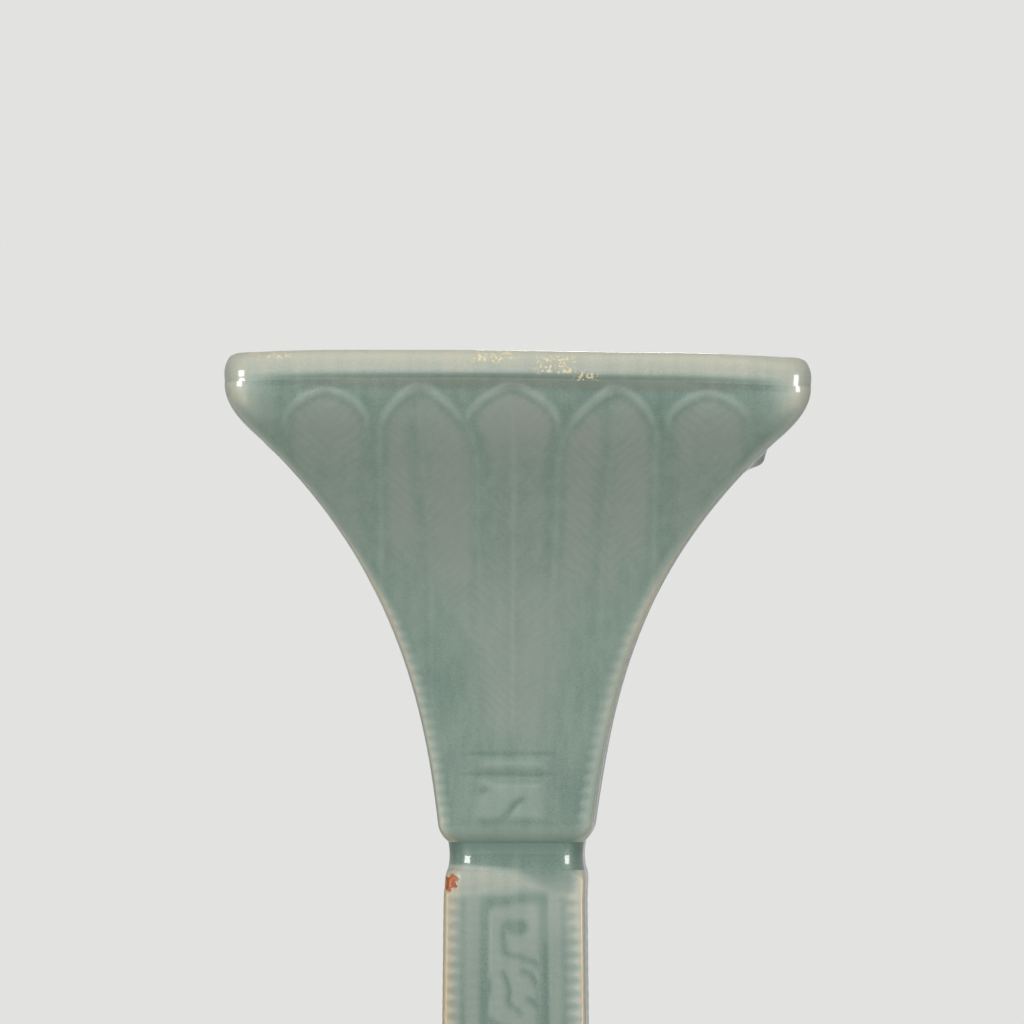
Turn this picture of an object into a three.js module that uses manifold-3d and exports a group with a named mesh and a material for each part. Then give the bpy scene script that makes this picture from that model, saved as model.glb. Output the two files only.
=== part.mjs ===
// A celadon flower goblet: a tall square vase in the shape of an ancient bronze beaker.
// It is slab-built. Press-moulded clay walls are mitred at the corners and luted together with slip
// into a flaring trumpet, a straight stem and a splayed foot. Square rings join the three at the
// waists, a strip makes the lip, a slab makes the floor, and coils are pressed into the inside corners.
// Millimetres, +Z up. The foot stands on z = 0 with the axis at the origin, and the front faces -Y.

import * as THREE from "three";
import { mergeGeometries, mergeVertices } from "three/addons/utils/BufferGeometryUtils.js";
import Module from "manifold-3d";

const wasm = await Module();
wasm.setup();

// Joints

const SLIP = 0.3; // thickness of the slip between two pieces of clay

// Lip strips round the mouth

const LIP_WIDTH = 130; // across the mouth, from face to face
const LIP_HEIGHT = 6.4;
const LIP_THICKNESS = 6.4;
const LIP_ROUND = 2.4; // rounding of the upper edges
const LIP_UNDERCUT = 1; // rounding of the lower outer edge
const LIP_CORNER = 4.6; // corner radius in plan

// Trumpet walls

const TRUMPET_HEIGHT = 103;
const TRUMPET_BASE_WIDTH = 34.4;
const TRUMPET_WALL = 4.6; // measured square to the wall
const TRUMPET_LEAN = 0.126; // outward slope where the wall leaves the waist
const TRUMPET_FLARE_POWER = 2.8;
const TRUMPET_LIP_STEP = 0.1; // how far the corners stop short of the lip's face
const TRUMPET_TURN_UP = 5.2; // upright stretch under the lip
const TRUMPET_TURN_SOFTNESS_CORNER = 3;
const TRUMPET_TURN_SOFTNESS_FACE = 12; // the faces turn up earlier than the corners
const TRUMPET_CORNER = 1.6; // corner radius in plan at the waist, growing to the lip's
const TRUMPET_EDGE_INSET = 1.9; // the rounded lower edge, across
const TRUMPET_EDGE_RISE = 3.4; // the rounded lower edge, upwards

// Raised plantain leaves on the trumpet walls: one in the middle, and more beside it on each side

const TRUMPET_SIDE_LEAVES = 2;
const LEAF_HALF_WIDTH = 10.4; // at the shoulder
const LEAF_ROOT_HALF_WIDTH = 5.2; // of the middle leaf, at its root
const LEAF_TAPER_POWER = 2.2;
const LEAF_GAP = 1; // between two leaves
const LEAF_RELIEF = 0.5;
const LEAF_TIP_GAP = 3.2; // from the end of the wall to the leaf's tip
const LEAF_ARCH = 13.5; // height of the leaf's rounded point
const LEAF_ROOT = 22; // from the waist to the foot of the leaves
const BORDER_WIDTH = 4.6; // from the corner to the edge of the leafy field

// Stem walls

const STEM_HEIGHT = 58;
const STEM_TOP_WIDTH = 32.7;
const STEM_BASE_WIDTH = 34;
const STEM_WALL = 5;
const STEM_CORNER = 1.2;
const STEM_EDGE_INSET = 1.4;
const STEM_EDGE_RISE = 2.2;

// Sunk frame and scroll on the stem walls

const FRAME_MARGIN = 8.6; // from the corner of the stem to the sunk frame
const FRAME_TOP_MARGIN = 5.4;
const FRAME_CHANNEL = 2;
const SCROLL_GROOVE = 1.5;
const SUNK_DEPTH = 0.6;

// Waist rings

const RING_HEIGHT = 6;
const RING_WIDTH = 31.1;
const RING_BORE = 21; // across the square hole
const RING_CORNER = 2.6;
const RING_BORE_CORNER = 1.2;

// Floor slab, lying on the lower ring inside the stem

const FLOOR_THICKNESS = 5;
const FLOOR_CORNER = 1.2;

// Foot walls

const FOOT_HEIGHT = 65;
const FOOT_TOP_WIDTH = 34.4;
const FOOT_BASE_WIDTH = 87;
const FOOT_WALL = 5;
const FOOT_LEAN = 0.1;
const FOOT_FLARE_POWER = 2.3;
const FOOT_CORNER = 1.8;
const FOOT_EDGE_INSET = 1.9;
const FOOT_EDGE_RISE = 3;
const PLINTH_HEIGHT = 9; // upright band at the bottom of the foot
const PLINTH_STEP = 1.3; // how far the band stands proud of the flare
const PLINTH_ROUND = 1.2;
const FOOT_SIDE_LEAVES = 1;
const FOOT_LEAF_TIP_GAP = 3;
const FOOT_LEAF_ARCH = 12;
const FOOT_LEAF_ROOT = 8;

// Unglazed foot ring strips

const FOOT_RING_HEIGHT = 3;
const FOOT_RING_INSET = 1.6; // from the plinth's face to the strip's face
const FOOT_RING_THICKNESS = 5;
const FOOT_RING_CHAMFER = 0.6;

// Chip-carved notches down both sides of every wall

const NOTCH_PITCH = 3;
const NOTCH_LENGTH = 2.4;
const NOTCH_HEIGHT = 2;
const NOTCH_DEPTH = 0.6;
const NOTCH_CLEARANCE = 0.8; // how far its cutter stands out of the face
const NOTCH_INSET = 3.6; // from the corner to the wide end of a notch
const NOTCH_END_GAP = 5; // from the end of a wall to its first notch
const TRUMPET_NOTCHED_LENGTH = 50; // the border dies out above this
const FOOT_NOTCHED_LENGTH = 30;

// Seam coils in the inside corners

const TRUMPET_COIL_LEG = 3.2;
const STEM_COIL_LEG = 2;
const FOOT_COIL_LEG = 3;
const COIL_EDGE = 0.5; // thickness left at the feathered edge
const COIL_HOLLOW = 0.35; // share of the leg by which the coil's face is hollowed

// Fineness

const CORNER_STEPS = 3;
const EDGE_STEPS = 2;
const LIP_STEPS = 3;
const SLOPE_STEP = 0.01;
const BOWED_COLUMNS = [-1, -0.7, -0.35, 0, 0.35, 0.7, 1];
const PLAIN_COLUMNS = [-1, 1];
const FLARE_LEVELS = [0.12, 0.25, 0.37, 0.49, 0.6, 0.7, 0.79, 0.87, 0.92, 0.96, 1];
const FOOT_FLARE_LEVELS = [0.14, 0.3, 0.47, 0.65, 0.83];
const LEAF_STEPS = 5;
const POINT_SHARES = [0.14, 0.28, 0.41, 0.5, 0.59, 0.72, 0.86]; // of the half turn round a leaf's tip
const SCROLL_STEPS = 10;
const CUT_CLEARANCE = 1; // how far a cutter stands out of the face

const SIDES = ["front", "right", "back", "left"];
const CORNERS = ["front_right", "right_back", "back_left", "left_front"];

// Materials

const glaze = (color) => new THREE.MeshStandardMaterial({ color, roughness: 0.18, metalness: 0 });
const lipGlaze = glaze(0xb1b2a4);
const wallGlaze = glaze(0x8fa396);
const ringGlaze = glaze(0x70857a);
const insideGlaze = glaze(0x869a8d);
const bareClay = new THREE.MeshStandardMaterial({ color: 0xaa6a46, roughness: 0.85, metalness: 0 });

// Profiles: half-widths against height above the bottom of each section

function smoothMin(a, b, softness) {
  const overlap = Math.max(softness - Math.abs(a - b), 0) / softness;
  return Math.min(a, b) - (overlap * overlap * softness) / 4;
}

function slopeOf(profile, z) {
  return (profile(z + SLOPE_STEP) - profile(z - SLOPE_STEP)) / (2 * SLOPE_STEP);
}

// How far a rounded edge draws in at a distance from the end of the wall.
function roundedInset(distance, across, along) {
  const share = Math.min(Math.max(distance / along, 0), 1);
  return across * (1 - Math.sqrt(1 - (1 - share) ** 2));
}

// Heights at which a rounded edge is cut, measured from the end of the wall.
function roundedSteps(along, steps) {
  const angles = Array.from({ length: steps + 1 }, (_, i) => (i / steps) * (Math.PI / 2));
  return angles.map((angle) => along * (1 - Math.cos(angle)));
}

const lipHalf = LIP_WIDTH / 2;
const trumpetCap = lipHalf - TRUMPET_LIP_STEP;
const trumpetReach = TRUMPET_HEIGHT - TRUMPET_TURN_UP;

function trumpetFlare(z) {
  const base = TRUMPET_BASE_WIDTH / 2;
  const spread = trumpetCap - base - TRUMPET_LEAN * trumpetReach;
  return base + TRUMPET_LEAN * z + spread * Math.max(z / trumpetReach, 0) ** TRUMPET_FLARE_POWER;
}

const trumpetCorner = (z) => smoothMin(trumpetFlare(z), trumpetCap, TRUMPET_TURN_SOFTNESS_CORNER);
const trumpetFace = (z) => smoothMin(trumpetFlare(z), trumpetCap, TRUMPET_TURN_SOFTNESS_FACE);
const stemOuter = (z) => THREE.MathUtils.lerp(STEM_BASE_WIDTH, STEM_TOP_WIDTH, z / STEM_HEIGHT) / 2;

const footReach = FOOT_HEIGHT - PLINTH_HEIGHT;

function footFlare(z) {
  const down = Math.min(Math.max(FOOT_HEIGHT - z, 0), footReach);
  const top = FOOT_TOP_WIDTH / 2;
  const spread = FOOT_BASE_WIDTH / 2 - PLINTH_STEP - top - FOOT_LEAN * footReach;
  return top + FOOT_LEAN * down + spread * (down / footReach) ** FOOT_FLARE_POWER;
}

const thickWall = (profile, wall) => (z) => profile(z) - wall * Math.hypot(1, slopeOf(profile, z));

// Walls: each is a slab that faces -Y, lofted through its levels, with mitred sides

// Closes a stack of levels, each with an outer and an inner line of points from left to right.
function loftSlab(levels) {
  const outerCount = levels[0].outer.length;
  const innerCount = levels[0].inner.length;
  const levelSize = outerCount + innerCount;
  const points = levels.flatMap(({ outer, inner }) => [...outer, ...inner]);
  const positions = points.flatMap((point) => point.toArray());
  const outerAt = (level, i) => level * levelSize + i;
  const innerAt = (level, i) => level * levelSize + outerCount + i;
  const index = [];
  const quad = (a, b, c, d) => index.push(a, b, c, a, c, d);
  for (let k = 0; k < levels.length - 1; k++) {
    for (let i = 0; i < outerCount - 1; i++) {
      quad(outerAt(k, i), outerAt(k, i + 1), outerAt(k + 1, i + 1), outerAt(k + 1, i));
    }
    for (let i = 0; i < innerCount - 1; i++) {
      quad(innerAt(k, i + 1), innerAt(k, i), innerAt(k + 1, i), innerAt(k + 1, i + 1));
    }
    quad(innerAt(k, 0), outerAt(k, 0), outerAt(k + 1, 0), innerAt(k + 1, 0));
    quad(
      outerAt(k, outerCount - 1),
      innerAt(k, innerCount - 1),
      innerAt(k + 1, innerCount - 1),
      outerAt(k + 1, outerCount - 1),
    );
  }
  const top = levels.length - 1;
  for (const [a, b, c] of zipLines(levels[0])) index.push(c, b, a);
  for (const [a, b, c] of zipLines(levels[top])) {
    index.push(a + top * levelSize, b + top * levelSize, c + top * levelSize);
  }
  const geometry = new THREE.BufferGeometry();
  geometry.setAttribute("position", new THREE.Float32BufferAttribute(positions, 3));
  geometry.setIndex(index);
  return geometry;
}

// Fills the strip between a level's outer and inner lines with triangles that face up.
function zipLines({ outer, inner }) {
  const triangles = [];
  const shareAlong = (line, i) => (line[i].x - line[0].x) / (line[line.length - 1].x - line[0].x);
  let i = 0;
  let j = 0;
  while (i < outer.length - 1 || j < inner.length - 1) {
    const outerDone = i === outer.length - 1;
    const innerDone = j === inner.length - 1;
    const outerIsBehind = () => shareAlong(outer, i + 1) <= shareAlong(inner, j + 1);
    if (innerDone || (!outerDone && outerIsBehind())) {
      triangles.push([i, i + 1, outer.length + j]);
      i += 1;
    } else {
      triangles.push([i, outer.length + j + 1, outer.length + j]);
      j += 1;
    }
  }
  return triangles;
}

// One level of a wall. Its outer corners are rounded, and its mitres leave half the slip on each side.
function wallLevel(z, wall) {
  const half = wall.half(z);
  const radius = wall.corner(z);
  const flat = half - radius;
  const mitre = Math.PI / 4 - Math.asin(SLIP / 2 / radius);
  const steps = Array.from({ length: CORNER_STEPS }, (_, i) => ((i + 1) / CORNER_STEPS) * mitre);
  const corner = (side) => (angle) =>
    new THREE.Vector3(
      side * (flat + radius * Math.sin(angle)),
      -flat - radius * Math.cos(angle),
      z,
    );
  const face = wall.columns.map((u) => new THREE.Vector3(u * flat, -half + wall.sag(u, z), z));
  const inside = wall.inner(z);
  return {
    outer: [...steps.map(corner(-1)).reverse(), ...face, ...steps.map(corner(1))],
    inner: wall.columns.map((u) =>
      new THREE.Vector3(u * (inside - SLIP / Math.SQRT2), -inside + wall.sag(u, z), z),
    ),
  };
}

const straight = () => 0;

// One level of the field inside a wall's border: a skin that stands proud by the leaf relief.
function fieldLevel(z, wall) {
  const half = wall.half(z);
  const reach = half - BORDER_WIDTH;
  const line = (out) =>
    wall.columns.map((share) => {
      const x = share * reach;
      const u = x / (half - wall.corner(z));
      return new THREE.Vector3(x, -half + wall.sag(u, z) - out, z);
    });
  return { outer: line(LEAF_RELIEF), inner: line(-LEAF_RELIEF) };
}

// Leaf outlines on the plane of the wall, from the root up: the middle leaf tapers to its root,
// the others stand beside it, and each ends in a rounded point.
function leafOutlines({ root, height, arch, sideLeaves }) {
  const shoulder = height - arch;
  const shares = Array.from({ length: LEAF_STEPS + 1 }, (_, i) => i / LEAF_STEPS);
  const middleEdge = (share) =>
    LEAF_ROOT_HALF_WIDTH + (LEAF_HALF_WIDTH - LEAF_ROOT_HALF_WIDTH) * share ** LEAF_TAPER_POWER;
  const heightAt = (share) => root + share * (shoulder - root);
  const edge = (line) => shares.map((share) => new THREE.Vector2(line(share), heightAt(share)));
  const pitch = 2 * LEAF_HALF_WIDTH + LEAF_GAP;
  const outlines = [];
  for (let n = -sideLeaves; n <= sideLeaves; n++) {
    const side = Math.sign(n);
    const middle = n * pitch;
    const straightEdge = (offset) => () => middle + offset;
    const besideMiddle = (share) => side * (middleEdge(share) + LEAF_GAP);
    let left = straightEdge(-LEAF_HALF_WIDTH);
    let right = straightEdge(LEAF_HALF_WIDTH);
    if (n === 1) left = besideMiddle;
    if (n === -1) right = besideMiddle;
    if (n === 0) {
      left = (share) => -middleEdge(share);
      right = middleEdge;
    }
    const point = POINT_SHARES.map((share) => {
      const across = LEAF_HALF_WIDTH * Math.cos(share * Math.PI);
      return new THREE.Vector2(middle + across, shoulder + arch * Math.sin(share * Math.PI));
    });
    outlines.push(new THREE.Shape([...edge(right), ...point, ...edge(left).reverse()]));
  }
  return outlines;
}

// Cutting

function solidOf(geometry) {
  const bare = geometry.index ? geometry.toNonIndexed() : geometry.clone();
  bare.deleteAttribute("normal");
  bare.deleteAttribute("uv");
  const merged = mergeVertices(bare);
  return new wasm.Manifold(
    new wasm.Mesh({
      numProp: 3,
      vertProperties: merged.attributes.position.array,
      triVerts: new Uint32Array(merged.index.array),
    }),
  );
}

function geometryOf(solid) {
  const mesh = solid.getMesh();
  const geometry = new THREE.BufferGeometry();
  geometry.setAttribute("position", new THREE.BufferAttribute(mesh.vertProperties, 3));
  geometry.setIndex(new THREE.BufferAttribute(mesh.triVerts, 1));
  return geometry;
}

// Leaves: prisms of the outlines, cut to the field's skin.
function leafPlates(field, outlines, arrange = (leaves) => leaves) {
  const prisms = outlines.map((outline) => {
    const prism = new THREE.ExtrudeGeometry(outline, { depth: LIP_WIDTH, bevelEnabled: false });
    return prism.rotateX(Math.PI / 2);
  });
  return solidOf(field).intersect(solidOf(arrange(mergeGeometries(prisms))));
}

// A notch is a four-faced wedge, wide and deep at the field and running out towards the corner at +X.
// Its outer face stays clear of the wall.
function notchWedge() {
  const spread = (NOTCH_DEPTH + NOTCH_CLEARANCE) / NOTCH_DEPTH;
  const half = (NOTCH_HEIGHT / 2) * spread;
  const wedge = new THREE.BufferGeometry().setFromPoints([
    new THREE.Vector3(0, NOTCH_DEPTH, 0),
    new THREE.Vector3(0, -NOTCH_CLEARANCE, -half),
    new THREE.Vector3(0, -NOTCH_CLEARANCE, half),
    new THREE.Vector3(NOTCH_LENGTH * spread, -NOTCH_CLEARANCE, 0),
  ]);
  wedge.setIndex([0, 1, 2, 0, 3, 1, 0, 2, 3, 1, 3, 2]);
  return wedge;
}

function notchCutters(profile, from, to) {
  const cutters = [];
  for (let z = from; z <= to; z += NOTCH_PITCH) {
    const half = profile(z);
    for (const side of [-1, 1]) {
      const notch = notchWedge();
      if (side < 0) notch.rotateY(Math.PI);
      notch.rotateX(Math.atan(slopeOf(profile, z)));
      notch.translate(side * (half - NOTCH_INSET), -half, z);
      cutters.push(notch);
    }
  }
  return solidOf(mergeGeometries(cutters));
}

// Trumpet

function trumpetLevels() {
  const flare = FLARE_LEVELS.map((share) =>
    THREE.MathUtils.lerp(TRUMPET_EDGE_RISE, TRUMPET_HEIGHT, share),
  );
  return [...roundedSteps(TRUMPET_EDGE_RISE, EDGE_STEPS), ...flare];
}

function trumpetWall() {
  const edge = (z) => roundedInset(z, TRUMPET_EDGE_INSET, TRUMPET_EDGE_RISE);
  const wall = {
    half: (z) => trumpetCorner(z) - edge(z),
    inner: thickWall(trumpetCorner, TRUMPET_WALL),
    corner: (z) => THREE.MathUtils.lerp(TRUMPET_CORNER, LIP_CORNER, (z / TRUMPET_HEIGHT) ** 2),
    columns: BOWED_COLUMNS,
    sag: (u, z) => (trumpetCorner(z) - trumpetFace(z)) * (1 - u * u) ** 2,
  };
  const levels = trumpetLevels();
  const slab = solidOf(loftSlab(levels.map((z) => wallLevel(z, wall))));
  const field = loftSlab(levels.map((z) => fieldLevel(z, wall)));
  const outlines = leafOutlines({
    root: LEAF_ROOT,
    height: TRUMPET_HEIGHT - LEAF_TIP_GAP,
    arch: LEAF_ARCH,
    sideLeaves: TRUMPET_SIDE_LEAVES,
  });
  const notches = notchCutters(wall.half, NOTCH_END_GAP, TRUMPET_NOTCHED_LENGTH);
  return geometryOf(slab.add(leafPlates(field, outlines)).subtract(notches));
}

// Lip

function lipStrip() {
  const outer = (z) =>
    lipHalf -
    roundedInset(LIP_HEIGHT - z, LIP_ROUND, LIP_ROUND) -
    roundedInset(z, LIP_UNDERCUT, LIP_UNDERCUT);
  const inner = (z) => lipHalf - LIP_THICKNESS + roundedInset(LIP_HEIGHT - z, LIP_ROUND, LIP_ROUND);
  const wall = { half: outer, inner, corner: () => LIP_CORNER, columns: PLAIN_COLUMNS, sag: straight };
  const upper = roundedSteps(LIP_ROUND, LIP_STEPS).map((step) => LIP_HEIGHT - step);
  const levels = [...roundedSteps(LIP_UNDERCUT, EDGE_STEPS), ...upper.reverse()];
  return loftSlab(levels.map((z) => wallLevel(z, wall)));
}

// Stem

// A band of even width along a curve, as a flat outline.
function bandAlong(curve, width) {
  const left = [];
  const right = [];
  for (let i = 0; i <= SCROLL_STEPS; i++) {
    const point = curve.getPointAt(i / SCROLL_STEPS);
    const tangent = curve.getTangentAt(i / SCROLL_STEPS);
    const across = new THREE.Vector2(-tangent.y, tangent.x).multiplyScalar(width / 2);
    left.push(point.clone().add(across));
    right.push(point.clone().sub(across));
  }
  return new THREE.Shape([...right, ...left.reverse()]);
}

function rectangle(halfWidth, halfHeight) {
  const corners = [
    [-1, -1],
    [1, -1],
    [1, 1],
    [-1, 1],
  ];
  return corners.map(([x, y]) => new THREE.Vector2(x * halfWidth, y * halfHeight));
}

// Outlines sunk into the stem's face, about its middle: a frame, two hooked scrolls, a line between.
function stemOutlines() {
  const frameWidth = (STEM_TOP_WIDTH + STEM_BASE_WIDTH) / 4 - FRAME_MARGIN;
  const frameHeight = STEM_HEIGHT / 2 - FRAME_TOP_MARGIN;
  const fieldWidth = frameWidth - FRAME_CHANNEL;
  const fieldHeight = frameHeight - FRAME_CHANNEL;
  const frame = new THREE.Shape(rectangle(frameWidth, frameHeight));
  frame.holes.push(new THREE.Path(rectangle(fieldWidth, fieldHeight).reverse()));
  // Points of the hook as shares of the field's half-width and half-height
  const hook = [
    [0.62, 0.8],
    [0.2, 0.86],
    [-0.3, 0.78],
    [-0.46, 0.62],
    [-0.3, 0.46],
    [0.2, 0.36],
    [0.76, 0.22],
  ];
  const line = [
    [-0.36, 0.24],
    [-0.16, 0.08],
    [0.16, -0.08],
    [0.36, -0.24],
  ];
  const curve = (points, turn) =>
    new THREE.SplineCurve(
      points.map(([x, y]) => new THREE.Vector2(turn * x * fieldWidth, turn * y * fieldHeight)),
    );
  const grooves = [curve(hook, 1), curve(hook, -1), curve(line, 1)];
  return [frame, ...grooves.map((path) => bandAlong(path, SCROLL_GROOVE))];
}

function stemWall() {
  const edge = (z) => roundedInset(Math.min(z, STEM_HEIGHT - z), STEM_EDGE_INSET, STEM_EDGE_RISE);
  const wall = {
    half: (z) => stemOuter(z) - edge(z),
    inner: (z) => stemOuter(z) - STEM_WALL,
    corner: () => STEM_CORNER,
    columns: PLAIN_COLUMNS,
    sag: straight,
  };
  const lower = roundedSteps(STEM_EDGE_RISE, EDGE_STEPS);
  const upper = lower.map((step) => STEM_HEIGHT - step).reverse();
  const slab = solidOf(loftSlab([...lower, ...upper].map((z) => wallLevel(z, wall))));
  const middle = STEM_HEIGHT / 2;
  const sunk = stemOutlines().map((outline) => {
    const cutter = new THREE.ExtrudeGeometry(outline, {
      depth: SUNK_DEPTH + CUT_CLEARANCE,
      bevelEnabled: false,
    });
    cutter.rotateX(Math.PI / 2 + Math.atan(slopeOf(stemOuter, middle)));
    cutter.translate(0, SUNK_DEPTH - stemOuter(middle), middle);
    return solidOf(cutter);
  });
  const notches = notchCutters(stemOuter, NOTCH_END_GAP, STEM_HEIGHT - NOTCH_END_GAP);
  return geometryOf([...sunk, notches].reduce((body, cutter) => body.subtract(cutter), slab));
}

// Rings and floor

function roundedSquare(half, radius) {
  const flat = half - radius;
  const points = [];
  for (let quarter = 0; quarter < 4; quarter++) {
    const turn = (quarter * Math.PI) / 2;
    for (let i = 0; i <= CORNER_STEPS; i++) {
      const angle = (i / CORNER_STEPS) * (Math.PI / 2);
      const point = new THREE.Vector2(flat + radius * Math.cos(angle), flat + radius * Math.sin(angle));
      points.push(point.rotateAround(new THREE.Vector2(), turn));
    }
  }
  return points;
}

function waistRing() {
  const ring = new THREE.Shape(roundedSquare(RING_WIDTH / 2, RING_CORNER));
  ring.holes.push(new THREE.Path(roundedSquare(RING_BORE / 2, RING_BORE_CORNER).reverse()));
  return new THREE.ExtrudeGeometry(ring, { depth: RING_HEIGHT, bevelEnabled: false });
}

function floorSlab() {
  const half = stemOuter(0) - STEM_WALL - SLIP;
  const slab = new THREE.Shape(roundedSquare(half, FLOOR_CORNER));
  return new THREE.ExtrudeGeometry(slab, { depth: FLOOR_THICKNESS, bevelEnabled: false });
}

// Foot

function footLevels() {
  const band = roundedSteps(PLINTH_ROUND, EDGE_STEPS).map((step) => PLINTH_HEIGHT - step);
  const flare = FOOT_FLARE_LEVELS.map((share) =>
    THREE.MathUtils.lerp(PLINTH_HEIGHT, FOOT_HEIGHT - FOOT_EDGE_RISE, share),
  );
  const top = roundedSteps(FOOT_EDGE_RISE, EDGE_STEPS).map((step) => FOOT_HEIGHT - step);
  return [0, ...band.reverse(), ...flare, ...top.reverse()];
}

function footWall() {
  const edge = (z) => roundedInset(FOOT_HEIGHT - z, FOOT_EDGE_INSET, FOOT_EDGE_RISE);
  const plinth = (z) => FOOT_BASE_WIDTH / 2 - roundedInset(PLINTH_HEIGHT - z, PLINTH_STEP, PLINTH_ROUND);
  const wall = {
    half: (z) => (z < PLINTH_HEIGHT ? plinth(z) : footFlare(z)) - edge(z),
    inner: thickWall(footFlare, FOOT_WALL),
    corner: () => FOOT_CORNER,
    columns: PLAIN_COLUMNS,
    sag: straight,
  };
  const levels = footLevels();
  const slab = solidOf(loftSlab(levels.map((z) => wallLevel(z, wall))));
  const field = loftSlab(levels.map((z) => fieldLevel(z, wall)));
  const outlines = leafOutlines({
    root: FOOT_LEAF_ROOT,
    height: FOOT_HEIGHT - PLINTH_HEIGHT - FOOT_LEAF_TIP_GAP,
    arch: FOOT_LEAF_ARCH,
    sideLeaves: FOOT_SIDE_LEAVES,
  });
  const hang = (leaves) => leaves.rotateY(Math.PI).translate(0, 0, FOOT_HEIGHT);
  const firstNotch = FOOT_HEIGHT - FOOT_NOTCHED_LENGTH;
  const notches = notchCutters(wall.half, firstNotch, FOOT_HEIGHT - NOTCH_END_GAP);
  return geometryOf(slab.add(leafPlates(field, outlines, hang)).subtract(notches));
}

function footRingStrip() {
  const outer = FOOT_BASE_WIDTH / 2 - FOOT_RING_INSET;
  const chamfer = (z) => Math.max(FOOT_RING_CHAMFER - z, 0);
  const wall = {
    half: (z) => outer - chamfer(z),
    inner: (z) => outer - FOOT_RING_THICKNESS + chamfer(z),
    corner: () => FOOT_CORNER,
    columns: PLAIN_COLUMNS,
    sag: straight,
  };
  const levels = [0, FOOT_RING_CHAMFER, FOOT_RING_HEIGHT];
  return loftSlab(levels.map((z) => wallLevel(z, wall)));
}

// Seam coils: each faces -Y in its own frame, with its back in the corner between two walls

function coilLevel(z, inner, leg) {
  const corner = Math.SQRT2 * (inner(z) - SLIP);
  const reach = leg / Math.SQRT2;
  const at = (x, y) => new THREE.Vector3(x, y, z);
  const edge = COIL_EDGE * Math.SQRT2;
  return {
    outer: [at(-reach, -corner + reach), at(0, -corner), at(reach, -corner + reach)],
    inner: [
      at(-reach + edge / 2, -corner + reach + edge / 2),
      at(0, -corner + reach * (1 - COIL_HOLLOW)),
      at(reach - edge / 2, -corner + reach + edge / 2),
    ],
  };
}

const seamCoil = (levels, inner, leg) => loftSlab(levels.map((z) => coilLevel(z, inner, leg)));

// Assembly

const goblet = new THREE.Group();
goblet.name = "celadon_flower_goblet";

function place(name, geometry, material, level, turn) {
  const piece = new THREE.Mesh(geometry, material.clone());
  piece.name = name;
  piece.position.z = level;
  piece.rotation.z = turn;
  goblet.add(piece);
}

function placeSides(name, geometry, material, level) {
  SIDES.forEach((side, k) => {
    place(`${name}_${side}`, geometry.clone(), material, level, (k * Math.PI) / 2);
  });
}

function placeCorners(name, geometry, level) {
  CORNERS.forEach((corner, k) => {
    place(`${name}_${corner}`, geometry.clone(), insideGlaze, level, ((2 * k + 1) * Math.PI) / 4);
  });
}

const footLevel = FOOT_RING_HEIGHT + SLIP;
const lowerRingLevel = footLevel + FOOT_HEIGHT + SLIP;
const stemLevel = lowerRingLevel + RING_HEIGHT + SLIP;
const upperRingLevel = stemLevel + STEM_HEIGHT + SLIP;
const trumpetLevel = upperRingLevel + RING_HEIGHT + SLIP;
const lipLevel = trumpetLevel + TRUMPET_HEIGHT + SLIP;

placeSides("foot_ring", footRingStrip(), bareClay, 0);
placeSides("foot_wall", footWall(), wallGlaze, footLevel);
place("lower_waist_ring", waistRing(), ringGlaze, lowerRingLevel, 0);
place("floor_slab", floorSlab(), insideGlaze, stemLevel, 0);
placeSides("stem_wall", stemWall(), wallGlaze, stemLevel);
place("upper_waist_ring", waistRing(), ringGlaze, upperRingLevel, 0);
placeSides("trumpet_wall", trumpetWall(), wallGlaze, trumpetLevel);
placeSides("lip", lipStrip(), lipGlaze, lipLevel);

const footInner = thickWall(footFlare, FOOT_WALL);
const stemInner = (z) => stemOuter(z) - STEM_WALL;
const trumpetInner = thickWall(trumpetCorner, TRUMPET_WALL);
const aboveFloor = FLOOR_THICKNESS + SLIP;
placeCorners("foot_coil", seamCoil(footLevels(), footInner, FOOT_COIL_LEG), footLevel);
placeCorners("stem_coil", seamCoil([aboveFloor, STEM_HEIGHT], stemInner, STEM_COIL_LEG), stemLevel);
placeCorners("trumpet_coil", seamCoil(trumpetLevels(), trumpetInner, TRUMPET_COIL_LEG), trumpetLevel);

export default goblet;
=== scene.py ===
# %% [markdown]
# # A celadon flower goblet
#
# This lesson dresses a tall square vase in an old bronze-cup shape: a flaring trumpet, a straight
# stem and a splayed foot, built from slabs of clay and covered with a thick grey-green glaze.
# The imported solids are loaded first. They fix where every piece goes, and each one is then replaced
# by a finer piece of the same name. All lengths below are in millimetres until they become vertices.

# %% Load the frame
import math

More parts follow.
